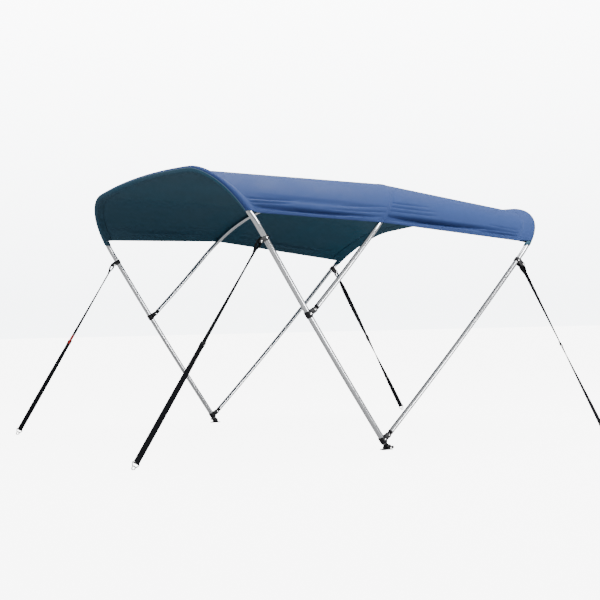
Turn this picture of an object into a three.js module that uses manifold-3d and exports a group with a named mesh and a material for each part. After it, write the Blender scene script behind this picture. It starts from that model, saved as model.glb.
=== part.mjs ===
// Bimini top: a stretched cloth canopy on three folding tube bows, two deck hinges and four straps.
// Millimetres. +X is aft, +Y is the far side, +Z is up. The origin lies on the deck, midway
// between the outermost points at front and rear.
import * as THREE from 'three';
import { mergeVertices } from 'three/addons/utils/BufferGeometryUtils.js';
import Module from 'manifold-3d';

const wasm = await Module();
wasm.setup();

// Main sizes
const HALF_WIDTH = 900;
const PIN_X = -72.1;
const PIN_Z = 16;
const SEAT_GAP = 0.3;
const NEAR = -1;
const FAR = 1;
const SIDES = { near: NEAR, far: FAR };

// Bow arch, the same on all three bows: two corner arcs, then a crown arc that closes the width
const CORNER = { radius: 310, turn: THREE.MathUtils.degToRad(52.8) };
const SHOULDER = { radius: 397, turn: THREE.MathUtils.degToRad(32.7) };
const CORNER_STEPS = 8;
const SHOULDER_STEPS = 5;
const CROWN_STEPS = 4;

// Bows: tube diameter, lean from upright, foot pivot to crown along the bow, and the leg's flex
const MAIN = { tube: 25.4, lean: -32.5, length: 1460, flex: 6, flexTo: -1, faces: 12, steps: 6, start: 16.3 };
const MID = { tube: 22.2, lean: 42.8, length: 793, flex: 3, flexTo: 1, faces: 10, steps: 4, start: 21.3 };
const REAR = { tube: 22.2, lean: 43.6, length: 1445, flex: 8, flexTo: 1, faces: 10, steps: 6, start: 21.3 };

// Places along the main legs; the near mid jaw has slid lower than the far one, which skews the
// mid bow up to this distance above its feet
const FOOT_JAW_AT = 33.5;
const MID_JAW_AT = { near: 690, far: 707 };
const SKEW_REACH = 900;

// Jaw slide: a band round the main tube with two ears for an eye end
const JAW_REACH = 35;
const JAW_BAND = 30;
const BAND_WALL = 2.2;
const BAND_PLAY = 1;
const EAR_THICK = 4;
const EAR_ROUND = 11;
const EAR_ROOT = 12;
const TONGUE_THICK = 8;
const BOLT_RADIUS = 3;
const BOLT_HOLE = 3.6;

// Eye ends, from the pivot: a tongue with an eye, then a collar where the tube starts
const MAIN_EYE = { from: 13, to: 16, outer: 12.7, eye: 9 };
const AUX_EYE = { from: 13, to: 21, outer: 12, eye: 9.5 };

// Deck hinge
const PLATE = { length: 56, width: 30, thick: 3.5, round: 9 };
const CHEEK = { thick: 5, round: 11, foot: 16, boss: 9.5, bossOut: 24 };
const PIN = { radius: 3, inboard: 13, neck: 42, knob: 6, end: 56 };

// Strap bracket
const BRACKET = { band: 20, reach: 30, ear: 3.5, gap: 26.6, round: 9, root: 11 };

// Straps
const WEBBING = { width: 25, single: 1.6, double: 3.6 };
const LOOP = { length: 50, radius: 4.7, bulgeAt: 16, bulge: 8, neckAt: 32, neck: 4.5 };
const SLIDER = { width: 32, height: 12, thick: 6, at: 0.46 };
const SLIDER_BAR = { length: 27, radius: 2.4 };
const TAG = { width: 13, length: 54, thick: 1, aside: 6, above: 10 };
const STRAP_STEPS = 8;
const NECK_AT = 0.13;

// Snap hook, measured down the strap from its bar
const HOOK = { bail: 34, slot: 27, bar: 3.2, neck: 13, plate: 4.5, wire: 5.2, gate: 3, side: 6.4, low: 30 };
const HOOK_SINK = 0.7;

// Canopy
const CLOTH = 1.6;
const CLOTH_PLAY = 1.3;
const SPAN_STEPS = 8;
const WRAP_STEPS = 7;
const POCKET = { main: { reach: 34, rise: 0 }, rear: { reach: 56, rise: -3 } };
const LAP = { back: 3, drop: 2.2 };
const MID_SEAM = 16;
const POCKET_END_DROP = 2.5;

// Height of the canopy's lower edge on each bow, above the start of that bow's arch
const EDGE = {
  near: { main: 80, mid: 58, rear: 88 },
  far: { main: 92, mid: 112, rear: 104 },
};

// Rows of the canopy, counted from its lower edge: fine where the folds lie
const ROW_BANDS = [
  { upTo: 60, step: 10 },
  { upTo: 150, step: 18 },
  { upTo: 500, step: 35 },
];
const CROWN_ROWS = 3;

// Folds: panel and side, start and end (fraction of the span, height above the edge), half width,
// and depth inwards (a negative depth stands out as a ridge)
const FOLDS = [
  { panel: 'front', side: NEAR, f0: 0.02, g0: 42, f1: 0.94, g1: 27, half: 14, depth: 11 },
  { panel: 'front', side: NEAR, f0: 0.05, g0: 18, f1: 0.95, g1: 12, half: 10, depth: -5 },
  { panel: 'front', side: NEAR, f0: 0.06, g0: 96, f1: 0.9, g1: 84, half: 30, depth: 5 },
  { panel: 'front', side: FAR, f0: 0.08, g0: 58, f1: 0.8, g1: 50, half: 18, depth: 9 },
  { panel: 'rear', side: NEAR, f0: 0.02, g0: 42, f1: 0.9, g1: 60, half: 15, depth: 11 },
  { panel: 'rear', side: NEAR, f0: 0.6, g0: 30, f1: 0.98, g1: 32, half: 11, depth: 5 },
  { panel: 'rear', side: FAR, f0: 0.1, g0: 50, f1: 0.85, g1: 44, half: 15, depth: 8 },
];

// Ends of the bow pockets that stick out below the canopy's corners
const POCKET_ENDS = [
  { name: 'front_far', bow: MAIN, side: FAR, edge: EDGE.far.main, midEdge: EDGE.far.mid, length: 28 },
  { name: 'rear_near', bow: REAR, side: NEAR, edge: EDGE.near.rear, midEdge: EDGE.near.mid, length: 24 },
  { name: 'rear_far', bow: REAR, side: FAR, edge: EDGE.far.rear, midEdge: EDGE.far.mid, length: 26 },
];

// Straps: bow and side, bracket's place on the bow, deck point of the hook (x and distance from the
// middle), and the turn of the webbing's width away from athwartships, in degrees
const STRAPS = [
  { name: 'front_near', bow: MAIN, side: NEAR, at: 1065, foot: [-1242, 900],
    neck: 14, slider: -15, hook: -70 },
  { name: 'front_far', bow: MAIN, side: FAR, at: 1065, foot: [-1217, 900],
    neck: 3, slider: -17, hook: -80 },
  { name: 'rear_near', bow: REAR, side: NEAR, at: 1063, foot: [1188, 900],
    neck: 9, slider: 32, hook: 72 },
  { name: 'rear_far', bow: REAR, side: FAR, at: 1134, foot: [1242, 947],
    neck: -60, slider: -130, hook: -235 },
];

// Materials
const finish = (color, metalness, roughness) =>
  new THREE.MeshStandardMaterial({ color, metalness, roughness });
const CLOTH_NAVY = finish(0x33507f, 0, 0.85);
const TUBE_ALLOY = finish(0xc6c9cc, 1, 0.32);
const NYLON_BLACK = finish(0x17181a, 0, 0.5);
const BOLT_STEEL = finish(0xd8dadc, 1, 0.22);
const WEB_BLACK = finish(0x141416, 0, 0.8);
const TAG_RED = finish(0xb01818, 0, 0.75);

const top = new THREE.Group();

function addPiece(name, geometry, material) {
  const mesh = new THREE.Mesh(geometry, material);
  mesh.name = name;
  top.add(mesh);
  return mesh;
}

// A mesh stands in a local frame of three unit vectors and an origin
function placeIn(mesh, frame) {
  const basis = new THREE.Matrix4().makeBasis(frame.x, frame.y, frame.z);
  mesh.quaternion.setFromRotationMatrix(basis);
  mesh.position.copy(frame.origin);
  return mesh;
}

function solidOf(geometry) {
  const bare = geometry.clone();
  bare.deleteAttribute('normal');
  bare.deleteAttribute('uv');
  const merged = mergeVertices(bare, 1e-4);
  return new wasm.Manifold(new wasm.Mesh({
    numProp: 3,
    vertProperties: new Float32Array(merged.attributes.position.array),
    triVerts: new Uint32Array(merged.index.array),
  }));
}

function geometryOf(solid) {
  const mesh = solid.getMesh();
  const geometry = new THREE.BufferGeometry();
  geometry.setAttribute('position', new THREE.BufferAttribute(mesh.vertProperties, 3));
  geometry.setIndex(new THREE.BufferAttribute(mesh.triVerts, 1));
  geometry.computeVertexNormals();
  return geometry;
}

// Closed geometry from rings of equal count, with a fan on the first and last ring
function ringSweep(rings) {
  const count = rings[0].length;
  const points = rings.flat();
  const index = [];
  for (let r = 0; r < rings.length - 1; r += 1) {
    for (let i = 0; i < count; i += 1) {
      const a = r * count + i;
      const b = r * count + ((i + 1) % count);
      index.push(a, b, b + count, a, b + count, a + count);
    }
  }
  const last = (rings.length - 1) * count;
  for (let i = 1; i < count - 1; i += 1) {
    index.push(0, i + 1, i, last, last + i, last + i + 1);
  }
  const geometry = new THREE.BufferGeometry().setFromPoints(points);
  geometry.setIndex(index);
  geometry.computeVertexNormals();
  return geometry;
}

// Arch of a bow: half width, rise and turn at a distance from the arch's start
const CORNER_LENGTH = CORNER.radius * CORNER.turn;
const SHOULDER_END = CORNER_LENGTH + SHOULDER.radius * SHOULDER.turn;
const FULL_TURN = CORNER.turn + SHOULDER.turn;
const CORNER_IN = CORNER.radius * (1 - Math.cos(CORNER.turn));
const CORNER_UP = CORNER.radius * Math.sin(CORNER.turn);
const SHOULDER_IN = CORNER_IN + SHOULDER.radius * (Math.cos(CORNER.turn) - Math.cos(FULL_TURN));
const SHOULDER_UP = CORNER_UP + SHOULDER.radius * (Math.sin(FULL_TURN) - Math.sin(CORNER.turn));
const CROWN_RADIUS = (HALF_WIDTH - SHOULDER_IN) / Math.cos(FULL_TURN);
const HALF_ARCH = SHOULDER_END + CROWN_RADIUS * (Math.PI / 2 - FULL_TURN);
const ARCH_RISE = SHOULDER_UP + CROWN_RADIUS * (1 - Math.sin(FULL_TURN));

function archAt(distance) {
  if (distance < CORNER_LENGTH) {
    const turn = Math.max(distance, 0) / CORNER.radius;
    return {
      half: HALF_WIDTH - CORNER.radius * (1 - Math.cos(turn)),
      rise: CORNER.radius * Math.sin(turn),
      turn,
    };
  }
  if (distance < SHOULDER_END) {
    const turn = CORNER.turn + (distance - CORNER_LENGTH) / SHOULDER.radius;
    return {
      half: HALF_WIDTH - CORNER_IN - SHOULDER.radius * (Math.cos(CORNER.turn) - Math.cos(turn)),
      rise: CORNER_UP + SHOULDER.radius * (Math.sin(turn) - Math.sin(CORNER.turn)),
      turn,
    };
  }
  const turn = FULL_TURN + (distance - SHOULDER_END) / CROWN_RADIUS;
  return {
    half: HALF_WIDTH - SHOULDER_IN - CROWN_RADIUS * (Math.cos(FULL_TURN) - Math.cos(turn)),
    rise: SHOULDER_UP + CROWN_RADIUS * (Math.sin(turn) - Math.sin(FULL_TURN)),
    turn,
  };
}

// Leg of a bow in the fore-and-aft plane: point and tangent, each as x and z
const legLength = (bow) => bow.length - ARCH_RISE;

function legAt(bow, distance) {
  const lean = THREE.MathUtils.degToRad(bow.lean);
  const along = new THREE.Vector2(Math.sin(lean), Math.cos(lean));
  const bend = new THREE.Vector2(along.y, -along.x).multiplyScalar(bow.flexTo * bow.flex);
  const turn = (Math.PI * distance) / legLength(bow);
  const point = bow.foot.clone().addScaledVector(along, distance).addScaledVector(bend, Math.sin(turn));
  const tangent = along.clone().addScaledVector(bend, (Math.PI / legLength(bow)) * Math.cos(turn));
  return { point, tangent: tangent.normalize() };
}

// How far a skewed bow stands off its plane on one side, and how fast that fades with distance
function skewAt(bow, side, distance) {
  const left = Math.max(1 - distance / SKEW_REACH, 0);
  const offset = bow.skew.clone().multiplyScalar(-side * left ** 1.5);
  const slope = bow.skew.clone().multiplyScalar(side * (1.5 / SKEW_REACH) * Math.sqrt(left));
  return { offset, slope };
}

// Centre of the tube at a distance from the foot, with its tangent (up the leg and over the arch),
// the outward normal, and the aft normal of the bow's plane
function bowAt(bow, side, distance) {
  const straight = legLength(bow);
  const { offset, slope } = skewAt(bow, side, distance);
  if (distance < straight) {
    const { point, tangent } = legAt(bow, distance);
    point.add(offset);
    tangent.add(slope).normalize();
    return {
      centre: new THREE.Vector3(point.x, side * HALF_WIDTH, point.y),
      tangent: new THREE.Vector3(tangent.x, 0, tangent.y),
      out: new THREE.Vector3(0, side, 0),
      aft: new THREE.Vector3(tangent.y, 0, -tangent.x),
    };
  }
  const { point, tangent } = legAt(bow, straight);
  point.add(offset);
  const { half, rise, turn } = archAt(distance - straight);
  const up = new THREE.Vector3(tangent.x, 0, tangent.y);
  const inward = new THREE.Vector3(0, -side, 0);
  const centre = new THREE.Vector3(point.x, side * half, point.y).addScaledVector(up, rise);
  return {
    centre,
    tangent: up.clone().multiplyScalar(Math.cos(turn)).addScaledVector(inward, Math.sin(turn)),
    out: up.clone().multiplyScalar(Math.sin(turn)).addScaledVector(inward, -Math.cos(turn)),
    aft: new THREE.Vector3(tangent.y, 0, -tangent.x),
  };
}

// The aux bows stand on pivots in the jaws of the main bow's legs
function jawPivot(distance) {
  const { point, tangent } = legAt(MAIN, distance);
  return point.clone().add(new THREE.Vector2(tangent.y, -tangent.x).multiplyScalar(JAW_REACH));
}

// A bow stands midway between its near and far pivots, and half their difference is its skew
function standOn(bow, nearPivot, farPivot) {
  bow.foot = nearPivot.clone().add(farPivot).multiplyScalar(0.5);
  bow.skew = nearPivot.clone().sub(farPivot).multiplyScalar(0.5);
}
const PIN_POINT = new THREE.Vector2(PIN_X, PIN_Z);
standOn(MAIN, PIN_POINT, PIN_POINT);
standOn(MID, jawPivot(MID_JAW_AT.near), jawPivot(MID_JAW_AT.far));
standOn(REAR, jawPivot(FOOT_JAW_AT), jawPivot(FOOT_JAW_AT));

// Stations of a bow's tube, from the near foot over the crown to the far foot
function bowStations(bow) {
  const straight = legLength(bow);
  const half = [];
  const addSpan = (from, to, steps) => {
    for (let i = 0; i < steps; i += 1) half.push(from + ((to - from) * i) / steps);
  };
  addSpan(bow.start, straight, bow.steps);
  addSpan(straight, straight + CORNER_LENGTH, CORNER_STEPS);
  addSpan(straight + CORNER_LENGTH, straight + SHOULDER_END, SHOULDER_STEPS);
  addSpan(straight + SHOULDER_END, straight + HALF_ARCH, CROWN_STEPS);
  const near = half.map((distance) => ({ side: NEAR, distance }));
  const far = half.map((distance) => ({ side: FAR, distance })).reverse();
  return [...near, { side: NEAR, distance: straight + HALF_ARCH }, ...far];
}

class BowAxis extends THREE.Curve {
  constructor(bow) {
    super();
    this.bow = bow;
    this.stations = bowStations(bow);
  }

  frameAt(u) {
    const station = this.stations[Math.round(u * (this.stations.length - 1))];
    return { ...bowAt(this.bow, station.side, station.distance), side: station.side };
  }

  getPointAt(u, target = new THREE.Vector3()) {
    return target.copy(this.frameAt(u).centre);
  }

  getTangentAt(u, target = new THREE.Vector3()) {
    const { tangent, side } = this.frameAt(u);
    return target.copy(tangent).multiplyScalar(-side);
  }
}

function circleShape(radius, faces) {
  const corners = [];
  for (let i = 0; i < faces; i += 1) {
    const angle = (2 * Math.PI * i) / faces;
    corners.push(new THREE.Vector2(radius * Math.cos(angle), radius * Math.sin(angle)));
  }
  return new THREE.Shape(corners);
}

function bowTube(name, bow) {
  const axis = new BowAxis(bow);
  const geometry = new THREE.ExtrudeGeometry(circleShape(bow.tube / 2, bow.faces), {
    steps: axis.stations.length - 1,
    extrudePath: axis,
  });
  addPiece(name, geometry, TUBE_ALLOY);
}

// A turned ring or rod along local Z
function turned(profile, faces = 12) {
  const points = profile.map(([r, z]) => new THREE.Vector2(r, z));
  return new THREE.LatheGeometry(points, faces).rotateX(Math.PI / 2);
}

// A plate with a round end, in the local XZ plane, centred on local Y
function roundEar({ from, halfRoot, at, round, thick, centreY = 0 }) {
  const shape = new THREE.Shape();
  const lean = Math.asin(Math.min((halfRoot - round) / Math.abs(at - from), 1));
  shape.moveTo(from, -halfRoot);
  shape.absarc(at, 0, round, -Math.PI / 2 + lean, Math.PI / 2 - lean, false);
  shape.lineTo(from, halfRoot);
  shape.closePath();
  const geometry = new THREE.ExtrudeGeometry(shape, { depth: thick, bevelEnabled: false, curveSegments: 5 });
  return geometry.translate(0, 0, -thick / 2).rotateX(Math.PI / 2).translate(0, centreY, 0);
}

function crossRod(radius, length, x, z = 0, faces = 10) {
  return new THREE.CylinderGeometry(radius, radius, length, faces).translate(x, 0, z);
}

function band(inner, length) {
  const outer = inner + BAND_WALL;
  const half = length / 2;
  return turned([[inner, -half], [outer, -half], [outer, half], [inner, half], [inner, -half]], 14);
}

// Band with two ears, which hold a bolt
function jawGeometry({ tube, length, reach, gap, ear, round, root }) {
  const inner = tube / 2 + BAND_PLAY;
  const earY = gap / 2 + ear / 2;
  let solid = solidOf(band(inner, length));
  for (const centreY of [-earY, earY]) {
    const lug = roundEar({ from: 2, halfRoot: root, at: reach, round, thick: ear, centreY });
    solid = solid.add(solidOf(lug));
  }
  solid = solid.subtract(solidOf(turned([[0, -length], [inner, -length], [inner, length], [0, length]], 14)));
  return geometryOf(solid.subtract(solidOf(crossRod(BOLT_HOLE, 2 * (gap + ear), reach))));
}

const JAW_GEOMETRY = jawGeometry({
  tube: MAIN.tube, length: JAW_BAND, reach: JAW_REACH, gap: TONGUE_THICK + 2 * SEAT_GAP,
  ear: EAR_THICK, round: EAR_ROUND, root: EAR_ROOT,
});

function bracketGeometry(bow) {
  return jawGeometry({
    tube: bow.tube, length: BRACKET.band, reach: BRACKET.reach, gap: BRACKET.gap,
    ear: BRACKET.ear, round: BRACKET.round, root: BRACKET.root,
  });
}

// Eye end that plugs into a tube: its collar, tongue and eye stay outside
function eyeGeometry({ from, to, outer, eye }) {
  const collar = turned([[0, from], [outer - 1.5, from], [outer, from + 1.5], [outer, to], [0, to]]);
  const tongue = roundEar({ from: -from - 1, halfRoot: eye, at: 0, round: eye, thick: TONGUE_THICK });
  const solid = solidOf(collar).add(solidOf(tongue.rotateY(Math.PI / 2)));
  return geometryOf(solid.subtract(solidOf(crossRod(BOLT_HOLE, 2 * TONGUE_THICK, 0))));
}

// Bolt across local Y: dome head towards -Y, nut towards +Y, over a grip of the given width
function boltGeometry(grip) {
  const face = grip / 2 + SEAT_GAP;
  const profile = [
    [0, -face - 3], [3, -face - 2.6], [4.8, -face - 1], [4.8, -face], [BOLT_RADIUS, -face],
    [BOLT_RADIUS, face], [5.2, face], [5.2, face + 4], [0, face + 4],
  ];
  return turned(profile, 8).rotateX(-Math.PI / 2);
}

// Local frame on a bow: z up the tube, x square to it in the bow's aft or forward direction
function legFrame(bow, side, distance, facing = 1) {
  const { centre, tangent, aft } = bowAt(bow, side, distance);
  const x = aft.clone().multiplyScalar(facing);
  return { origin: centre, x, y: new THREE.Vector3().crossVectors(tangent, x), z: tangent };
}

// Head of a bolt faces outboard on both sides
function outboardFrame(frame, origin, side) {
  const y = frame.y.clone().multiplyScalar(-side * Math.sign(frame.y.y));
  return { origin, x: new THREE.Vector3().crossVectors(y, frame.z), y, z: frame.z };
}

function addJaw(name, distance, side) {
  const frame = legFrame(MAIN, side, distance);
  placeIn(addPiece(`jaw_${name}`, JAW_GEOMETRY, NYLON_BLACK), frame);
  const pivot = frame.origin.clone().addScaledVector(frame.x, JAW_REACH);
  const grip = TONGUE_THICK + 2 * SEAT_GAP + 2 * EAR_THICK;
  placeIn(addPiece(`jaw_bolt_${name}`, boltGeometry(grip), BOLT_STEEL), outboardFrame(frame, pivot, side));
}

// Deck hinge: a plate with two cheeks, a boss on the outboard cheek, and the pin that it holds
function hingeBaseGeometry(side) {
  const { length, width, thick, round } = PLATE;
  const outline = new THREE.Shape();
  const x = length / 2 - round;
  const y = width / 2 - round;
  outline.absarc(x, y, round, 0, Math.PI / 2, false);
  outline.absarc(-x, y, round, Math.PI / 2, Math.PI, false);
  outline.absarc(-x, -y, round, Math.PI, 1.5 * Math.PI, false);
  outline.absarc(x, -y, round, 1.5 * Math.PI, 2 * Math.PI, false);
  const plate = new THREE.ExtrudeGeometry(outline, { depth: thick, bevelEnabled: false, curveSegments: 4 });
  let solid = solidOf(plate.translate(0, 0, -PIN_Z));
  const gap = TONGUE_THICK + 2 * SEAT_GAP;
  for (const cheekSide of [-1, 1]) {
    const cheek = roundEar({
      from: -(PIN_Z - 1), halfRoot: CHEEK.foot, at: 0, round: CHEEK.round, thick: CHEEK.thick,
      centreY: cheekSide * (gap / 2 + CHEEK.thick / 2),
    });
    solid = solid.add(solidOf(cheek.rotateY(-Math.PI / 2)));
  }
  const bossLength = CHEEK.bossOut - gap / 2;
  const boss = crossRod(CHEEK.boss, bossLength, 0, 0, 12).translate(0, side * (gap / 2 + bossLength / 2), 0);
  solid = solid.add(solidOf(boss));
  return geometryOf(solid.subtract(solidOf(crossRod(BOLT_HOLE, 4 * PLATE.width, 0))));
}

function hingePinGeometry(side) {
  const profile = [
    [0, -PIN.inboard], [PIN.radius, -PIN.inboard], [PIN.radius, PIN.neck], [PIN.knob, PIN.neck + 4],
    [PIN.knob, PIN.end - 4], [PIN.radius, PIN.end], [0, PIN.end],
  ];
  return turned(profile, 12).rotateX(-side * Math.PI / 2);
}

function addFoot(name, side) {
  const frame = legFrame(MAIN, side, 0);
  placeIn(addPiece(`main_eye_${name}`, eyeGeometry(MAIN_EYE), NYLON_BLACK), frame);
  const pivot = new THREE.Vector3(PIN_X, side * HALF_WIDTH, PIN_Z);
  addPiece(`hinge_base_${name}`, hingeBaseGeometry(side), NYLON_BLACK).position.copy(pivot);
  addPiece(`hinge_pin_${name}`, hingePinGeometry(side), NYLON_BLACK).position.copy(pivot);
}

// Webbing: a flat band along a list of points, each with the direction of its width
function webbing(stations, width, thick) {
  const rings = stations.map(({ point, across, face }) => {
    const corner = (w, t) =>
      point.clone().addScaledVector(across, (w * width) / 2).addScaledVector(face, (t * thick) / 2);
    return [corner(-1, -1), corner(1, -1), corner(1, 1), corner(-1, 1)];
  });
  return ringSweep(rings);
}

// A strap's run: from the bracket's bolt straight to the deck point of its hook
function strapRun({ bow, side, at, foot: [footX, footY] }) {
  const frame = legFrame(bow, side, at, bow === MAIN ? -1 : 1);
  const bolt = frame.origin.clone().addScaledVector(frame.x, BRACKET.reach);
  const down = new THREE.Vector3(footX, side * footY, 0).sub(bolt);
  const length = down.length();
  down.normalize();
  const axis = frame.y.clone().multiplyScalar(Math.sign(frame.y.y));
  const athwart = axis.addScaledVector(down, -axis.dot(down)).normalize();
  const square = new THREE.Vector3().crossVectors(down, athwart);
  return { bow, frame, bolt, down, square, athwart, length };
}

// Directions of the webbing's width and face for a turn away from athwartships
function webDirections(run, degrees) {
  const turn = THREE.MathUtils.degToRad(degrees);
  const across = run.athwart.clone().multiplyScalar(Math.cos(turn));
  across.addScaledVector(run.square, Math.sin(turn));
  return { across, face: new THREE.Vector3().crossVectors(run.down, across) };
}

// Turn of the webbing at a fraction of the run: flat at the bracket, then by way of the strap's
// neck and slider to its hook
function webTurn(run, strap, fraction) {
  const marks = [
    [LOOP.length / run.length, 0], [NECK_AT, strap.neck], [SLIDER.at, strap.slider], [1, strap.hook],
  ];
  const next = Math.max(marks.findIndex(([at]) => fraction <= at), 1);
  const [from, turnFrom] = marks[next - 1];
  const [to, turnTo] = marks[next];
  return THREE.MathUtils.mapLinear(Math.max(fraction, from), from, to, turnFrom, turnTo);
}

function upperStrand(run, strap, until) {
  const flat = webDirections(run, 0);
  const at = (distance, offset, turn = 0) => {
    const face = flat.face.clone().multiplyScalar(Math.cos(turn)).addScaledVector(run.down, Math.sin(turn));
    const point = run.bolt.clone().addScaledVector(run.down, distance).addScaledVector(flat.face, offset);
    return { point, across: flat.across, face };
  };
  const half = WEBBING.single / 2 + 0.2;
  const stations = [at(LOOP.length, -half, Math.PI), at(LOOP.neckAt, -LOOP.neck, Math.PI)];
  stations.push(at(LOOP.bulgeAt, -LOOP.bulge, Math.PI));
  for (let i = 0; i <= 6; i += 1) {
    const angle = Math.PI * (i / 6);
    stations.push(at(-LOOP.radius * Math.sin(angle), -LOOP.radius * Math.cos(angle), Math.PI + angle));
  }
  stations.push(at(LOOP.bulgeAt, LOOP.bulge), at(LOOP.neckAt, LOOP.neck), at(LOOP.length, half));
  for (let i = 1; i <= STRAP_STEPS; i += 1) {
    const t = i / STRAP_STEPS;
    const distance = THREE.MathUtils.lerp(LOOP.length, until, t);
    const { across, face } = webDirections(run, webTurn(run, strap, distance / run.length));
    const point = run.bolt.clone().addScaledVector(run.down, distance);
    point.addScaledVector(face, half * (1 - t));
    stations.push({ point, across, face });
  }
  return webbing(stations, WEBBING.width, WEBBING.single);
}

function lowerStrand(run, strap, from, until) {
  const stations = [];
  for (let i = 0; i <= STRAP_STEPS; i += 1) {
    const distance = THREE.MathUtils.lerp(from, until, i / STRAP_STEPS);
    const { across, face } = webDirections(run, webTurn(run, strap, distance / run.length));
    stations.push({ point: run.bolt.clone().addScaledVector(run.down, distance), across, face });
  }
  return webbing(stations, WEBBING.width, WEBBING.double);
}

class HookAxis extends THREE.Curve {
  getPoint(u, target = new THREE.Vector3()) {
    const { side, low, neck, wire } = HOOK;
    const bend = low - wire / 2 - side;
    const straight = bend - neck;
    const arc = Math.PI * side;
    const tip = 4;
    const along = u * (straight + arc + tip);
    if (along < straight) return target.set(side, 0, -neck - along);
    if (along < straight + arc) {
      const turn = (along - straight) / side;
      return target.set(side * Math.cos(turn), 0, -bend - side * Math.sin(turn));
    }
    return target.set(-side, 0, -bend + (along - straight - arc));
  }
}

// Snap hook in its local XZ plane, bar on top, hook below
function hookGeometry() {
  const { bail, slot, bar, neck, plate, wire, gate, side, low } = HOOK;
  const frameShape = new THREE.Shape([
    new THREE.Vector2(-bail / 2, bar), new THREE.Vector2(-bail / 2, -3), new THREE.Vector2(-10, -neck - 3),
    new THREE.Vector2(10, -neck - 3), new THREE.Vector2(bail / 2, -3), new THREE.Vector2(bail / 2, bar),
  ]);
  frameShape.holes.push(new THREE.Path([
    new THREE.Vector2(-slot / 2, 0), new THREE.Vector2(slot / 2, 0), new THREE.Vector2(slot / 2, -3.5),
    new THREE.Vector2(7, -neck + 3), new THREE.Vector2(-7, -neck + 3), new THREE.Vector2(-slot / 2, -3.5),
  ]));
  const frame = new THREE.ExtrudeGeometry(frameShape, { depth: plate, bevelEnabled: false });
  frame.translate(0, 0, -plate / 2).rotateX(Math.PI / 2);
  const path = { steps: 11, extrudePath: new HookAxis() };
  const bend = new THREE.ExtrudeGeometry(circleShape(wire / 2, 6), path);
  const gateLength = low - wire / 2 - side - neck;
  const gateRod = new THREE.CylinderGeometry(gate / 2, gate / 2, gateLength, 8).rotateX(Math.PI / 2);
  gateRod.translate(-side, 0, -neck - gateLength / 2);
  return geometryOf(solidOf(frame).add(solidOf(bend)).add(solidOf(gateRod)));
}

function addStrap(strap) {
  const run = strapRun(strap);
  const { name } = strap;
  placeIn(addPiece(`bracket_${name}`, bracketGeometry(run.bow), NYLON_BLACK), run.frame);
  const grip = BRACKET.gap + 2 * BRACKET.ear;
  const boltFrame = outboardFrame(run.frame, run.bolt, strap.side);
  placeIn(addPiece(`bracket_bolt_${name}`, boltGeometry(grip), BOLT_STEEL), boltFrame);

  const sliderAt = run.length * SLIDER.at;
  const barAt = run.length + HOOK_SINK - HOOK.low;
  const sliderHalf = SLIDER.height / 2 + SEAT_GAP;
  addPiece(`strap_upper_${name}`, upperStrand(run, strap, sliderAt - sliderHalf), WEB_BLACK);
  const lowerFrom = sliderAt + sliderHalf + 2 * SLIDER_BAR.radius + SEAT_GAP;
  const lower = lowerStrand(run, strap, lowerFrom, barAt - HOOK.bar - SEAT_GAP);
  addPiece(`strap_lower_${name}`, lower, WEB_BLACK);
  addSlider(name, run, strap, sliderAt);
  addHook(name, run, barAt);
}

// Frame of a flat fitting on a strap: x across the webbing, z up the strap
function strapFrame(run, strap, distance) {
  const { across } = webDirections(run, strap.slider);
  const up = run.down.clone().negate();
  const origin = run.bolt.clone().addScaledVector(run.down, distance);
  return { origin, x: across, y: new THREE.Vector3().crossVectors(up, across), z: up };
}

function addSlider(name, run, strap, at) {
  const block = new THREE.BoxGeometry(SLIDER.width, SLIDER.thick, SLIDER.height);
  placeIn(addPiece(`slider_${name}`, block, NYLON_BLACK), strapFrame(run, strap, at));
  const { radius, length } = SLIDER_BAR;
  const bar = new THREE.CylinderGeometry(radius, radius, length, 8).rotateZ(Math.PI / 2);
  const barAt = at + SLIDER.height / 2 + SEAT_GAP + radius;
  placeIn(addPiece(`slider_bar_${name}`, bar, BOLT_STEEL), strapFrame(run, strap, barAt));
}

// Tag: a short cloth tape that hangs beside a slider, on the face turned to the near side
function addTag(strap) {
  const run = strapRun(strap);
  const { width, length, thick, aside, above } = TAG;
  const frame = strapFrame(run, strap, run.length * SLIDER.at - above);
  const nearSign = Math.sign(-frame.y.y);
  const aftSign = Math.sign(frame.x.x);
  const lift = SLIDER.thick / 2 + 2 * SEAT_GAP + thick / 2;
  const tape = new THREE.BoxGeometry(width, thick, length).translate(aftSign * aside, nearSign * lift, 0);
  placeIn(addPiece('tag', tape, TAG_RED), frame);
}

// The hook's lowest turn is worn flat by the deck that it stands on
function addHook(name, run, barAt) {
  const origin = run.bolt.clone().addScaledVector(run.down, barAt);
  const up = run.down.clone().negate();
  const y = run.athwart.clone().multiplyScalar(run.down.x < 0 ? 1 : -1);
  const basis = new THREE.Matrix4().makeBasis(new THREE.Vector3().crossVectors(y, up), y, up);
  const geometry = hookGeometry().applyMatrix4(basis.setPosition(origin));
  const floor = new THREE.BoxGeometry(200, 200, 20).translate(origin.x, origin.y, -10);
  addPiece(`hook_${name}`, geometryOf(solidOf(geometry).subtract(solidOf(floor))), BOLT_STEEL);
}

// Rows of one half of the canopy, as heights above its lower edge
function rowHeights(edge) {
  const heights = [0];
  for (const { upTo, step } of ROW_BANDS) {
    const start = heights[heights.length - 1];
    const count = Math.round((upTo - start) / step);
    for (let i = 1; i <= count; i += 1) heights.push(start + ((upTo - start) * i) / count);
  }
  const last = heights[heights.length - 1];
  const crown = HALF_ARCH - edge;
  for (let i = 1; i <= CROWN_ROWS; i += 1) heights.push(last + ((crown - last) * i) / CROWN_ROWS);
  return heights;
}

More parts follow.
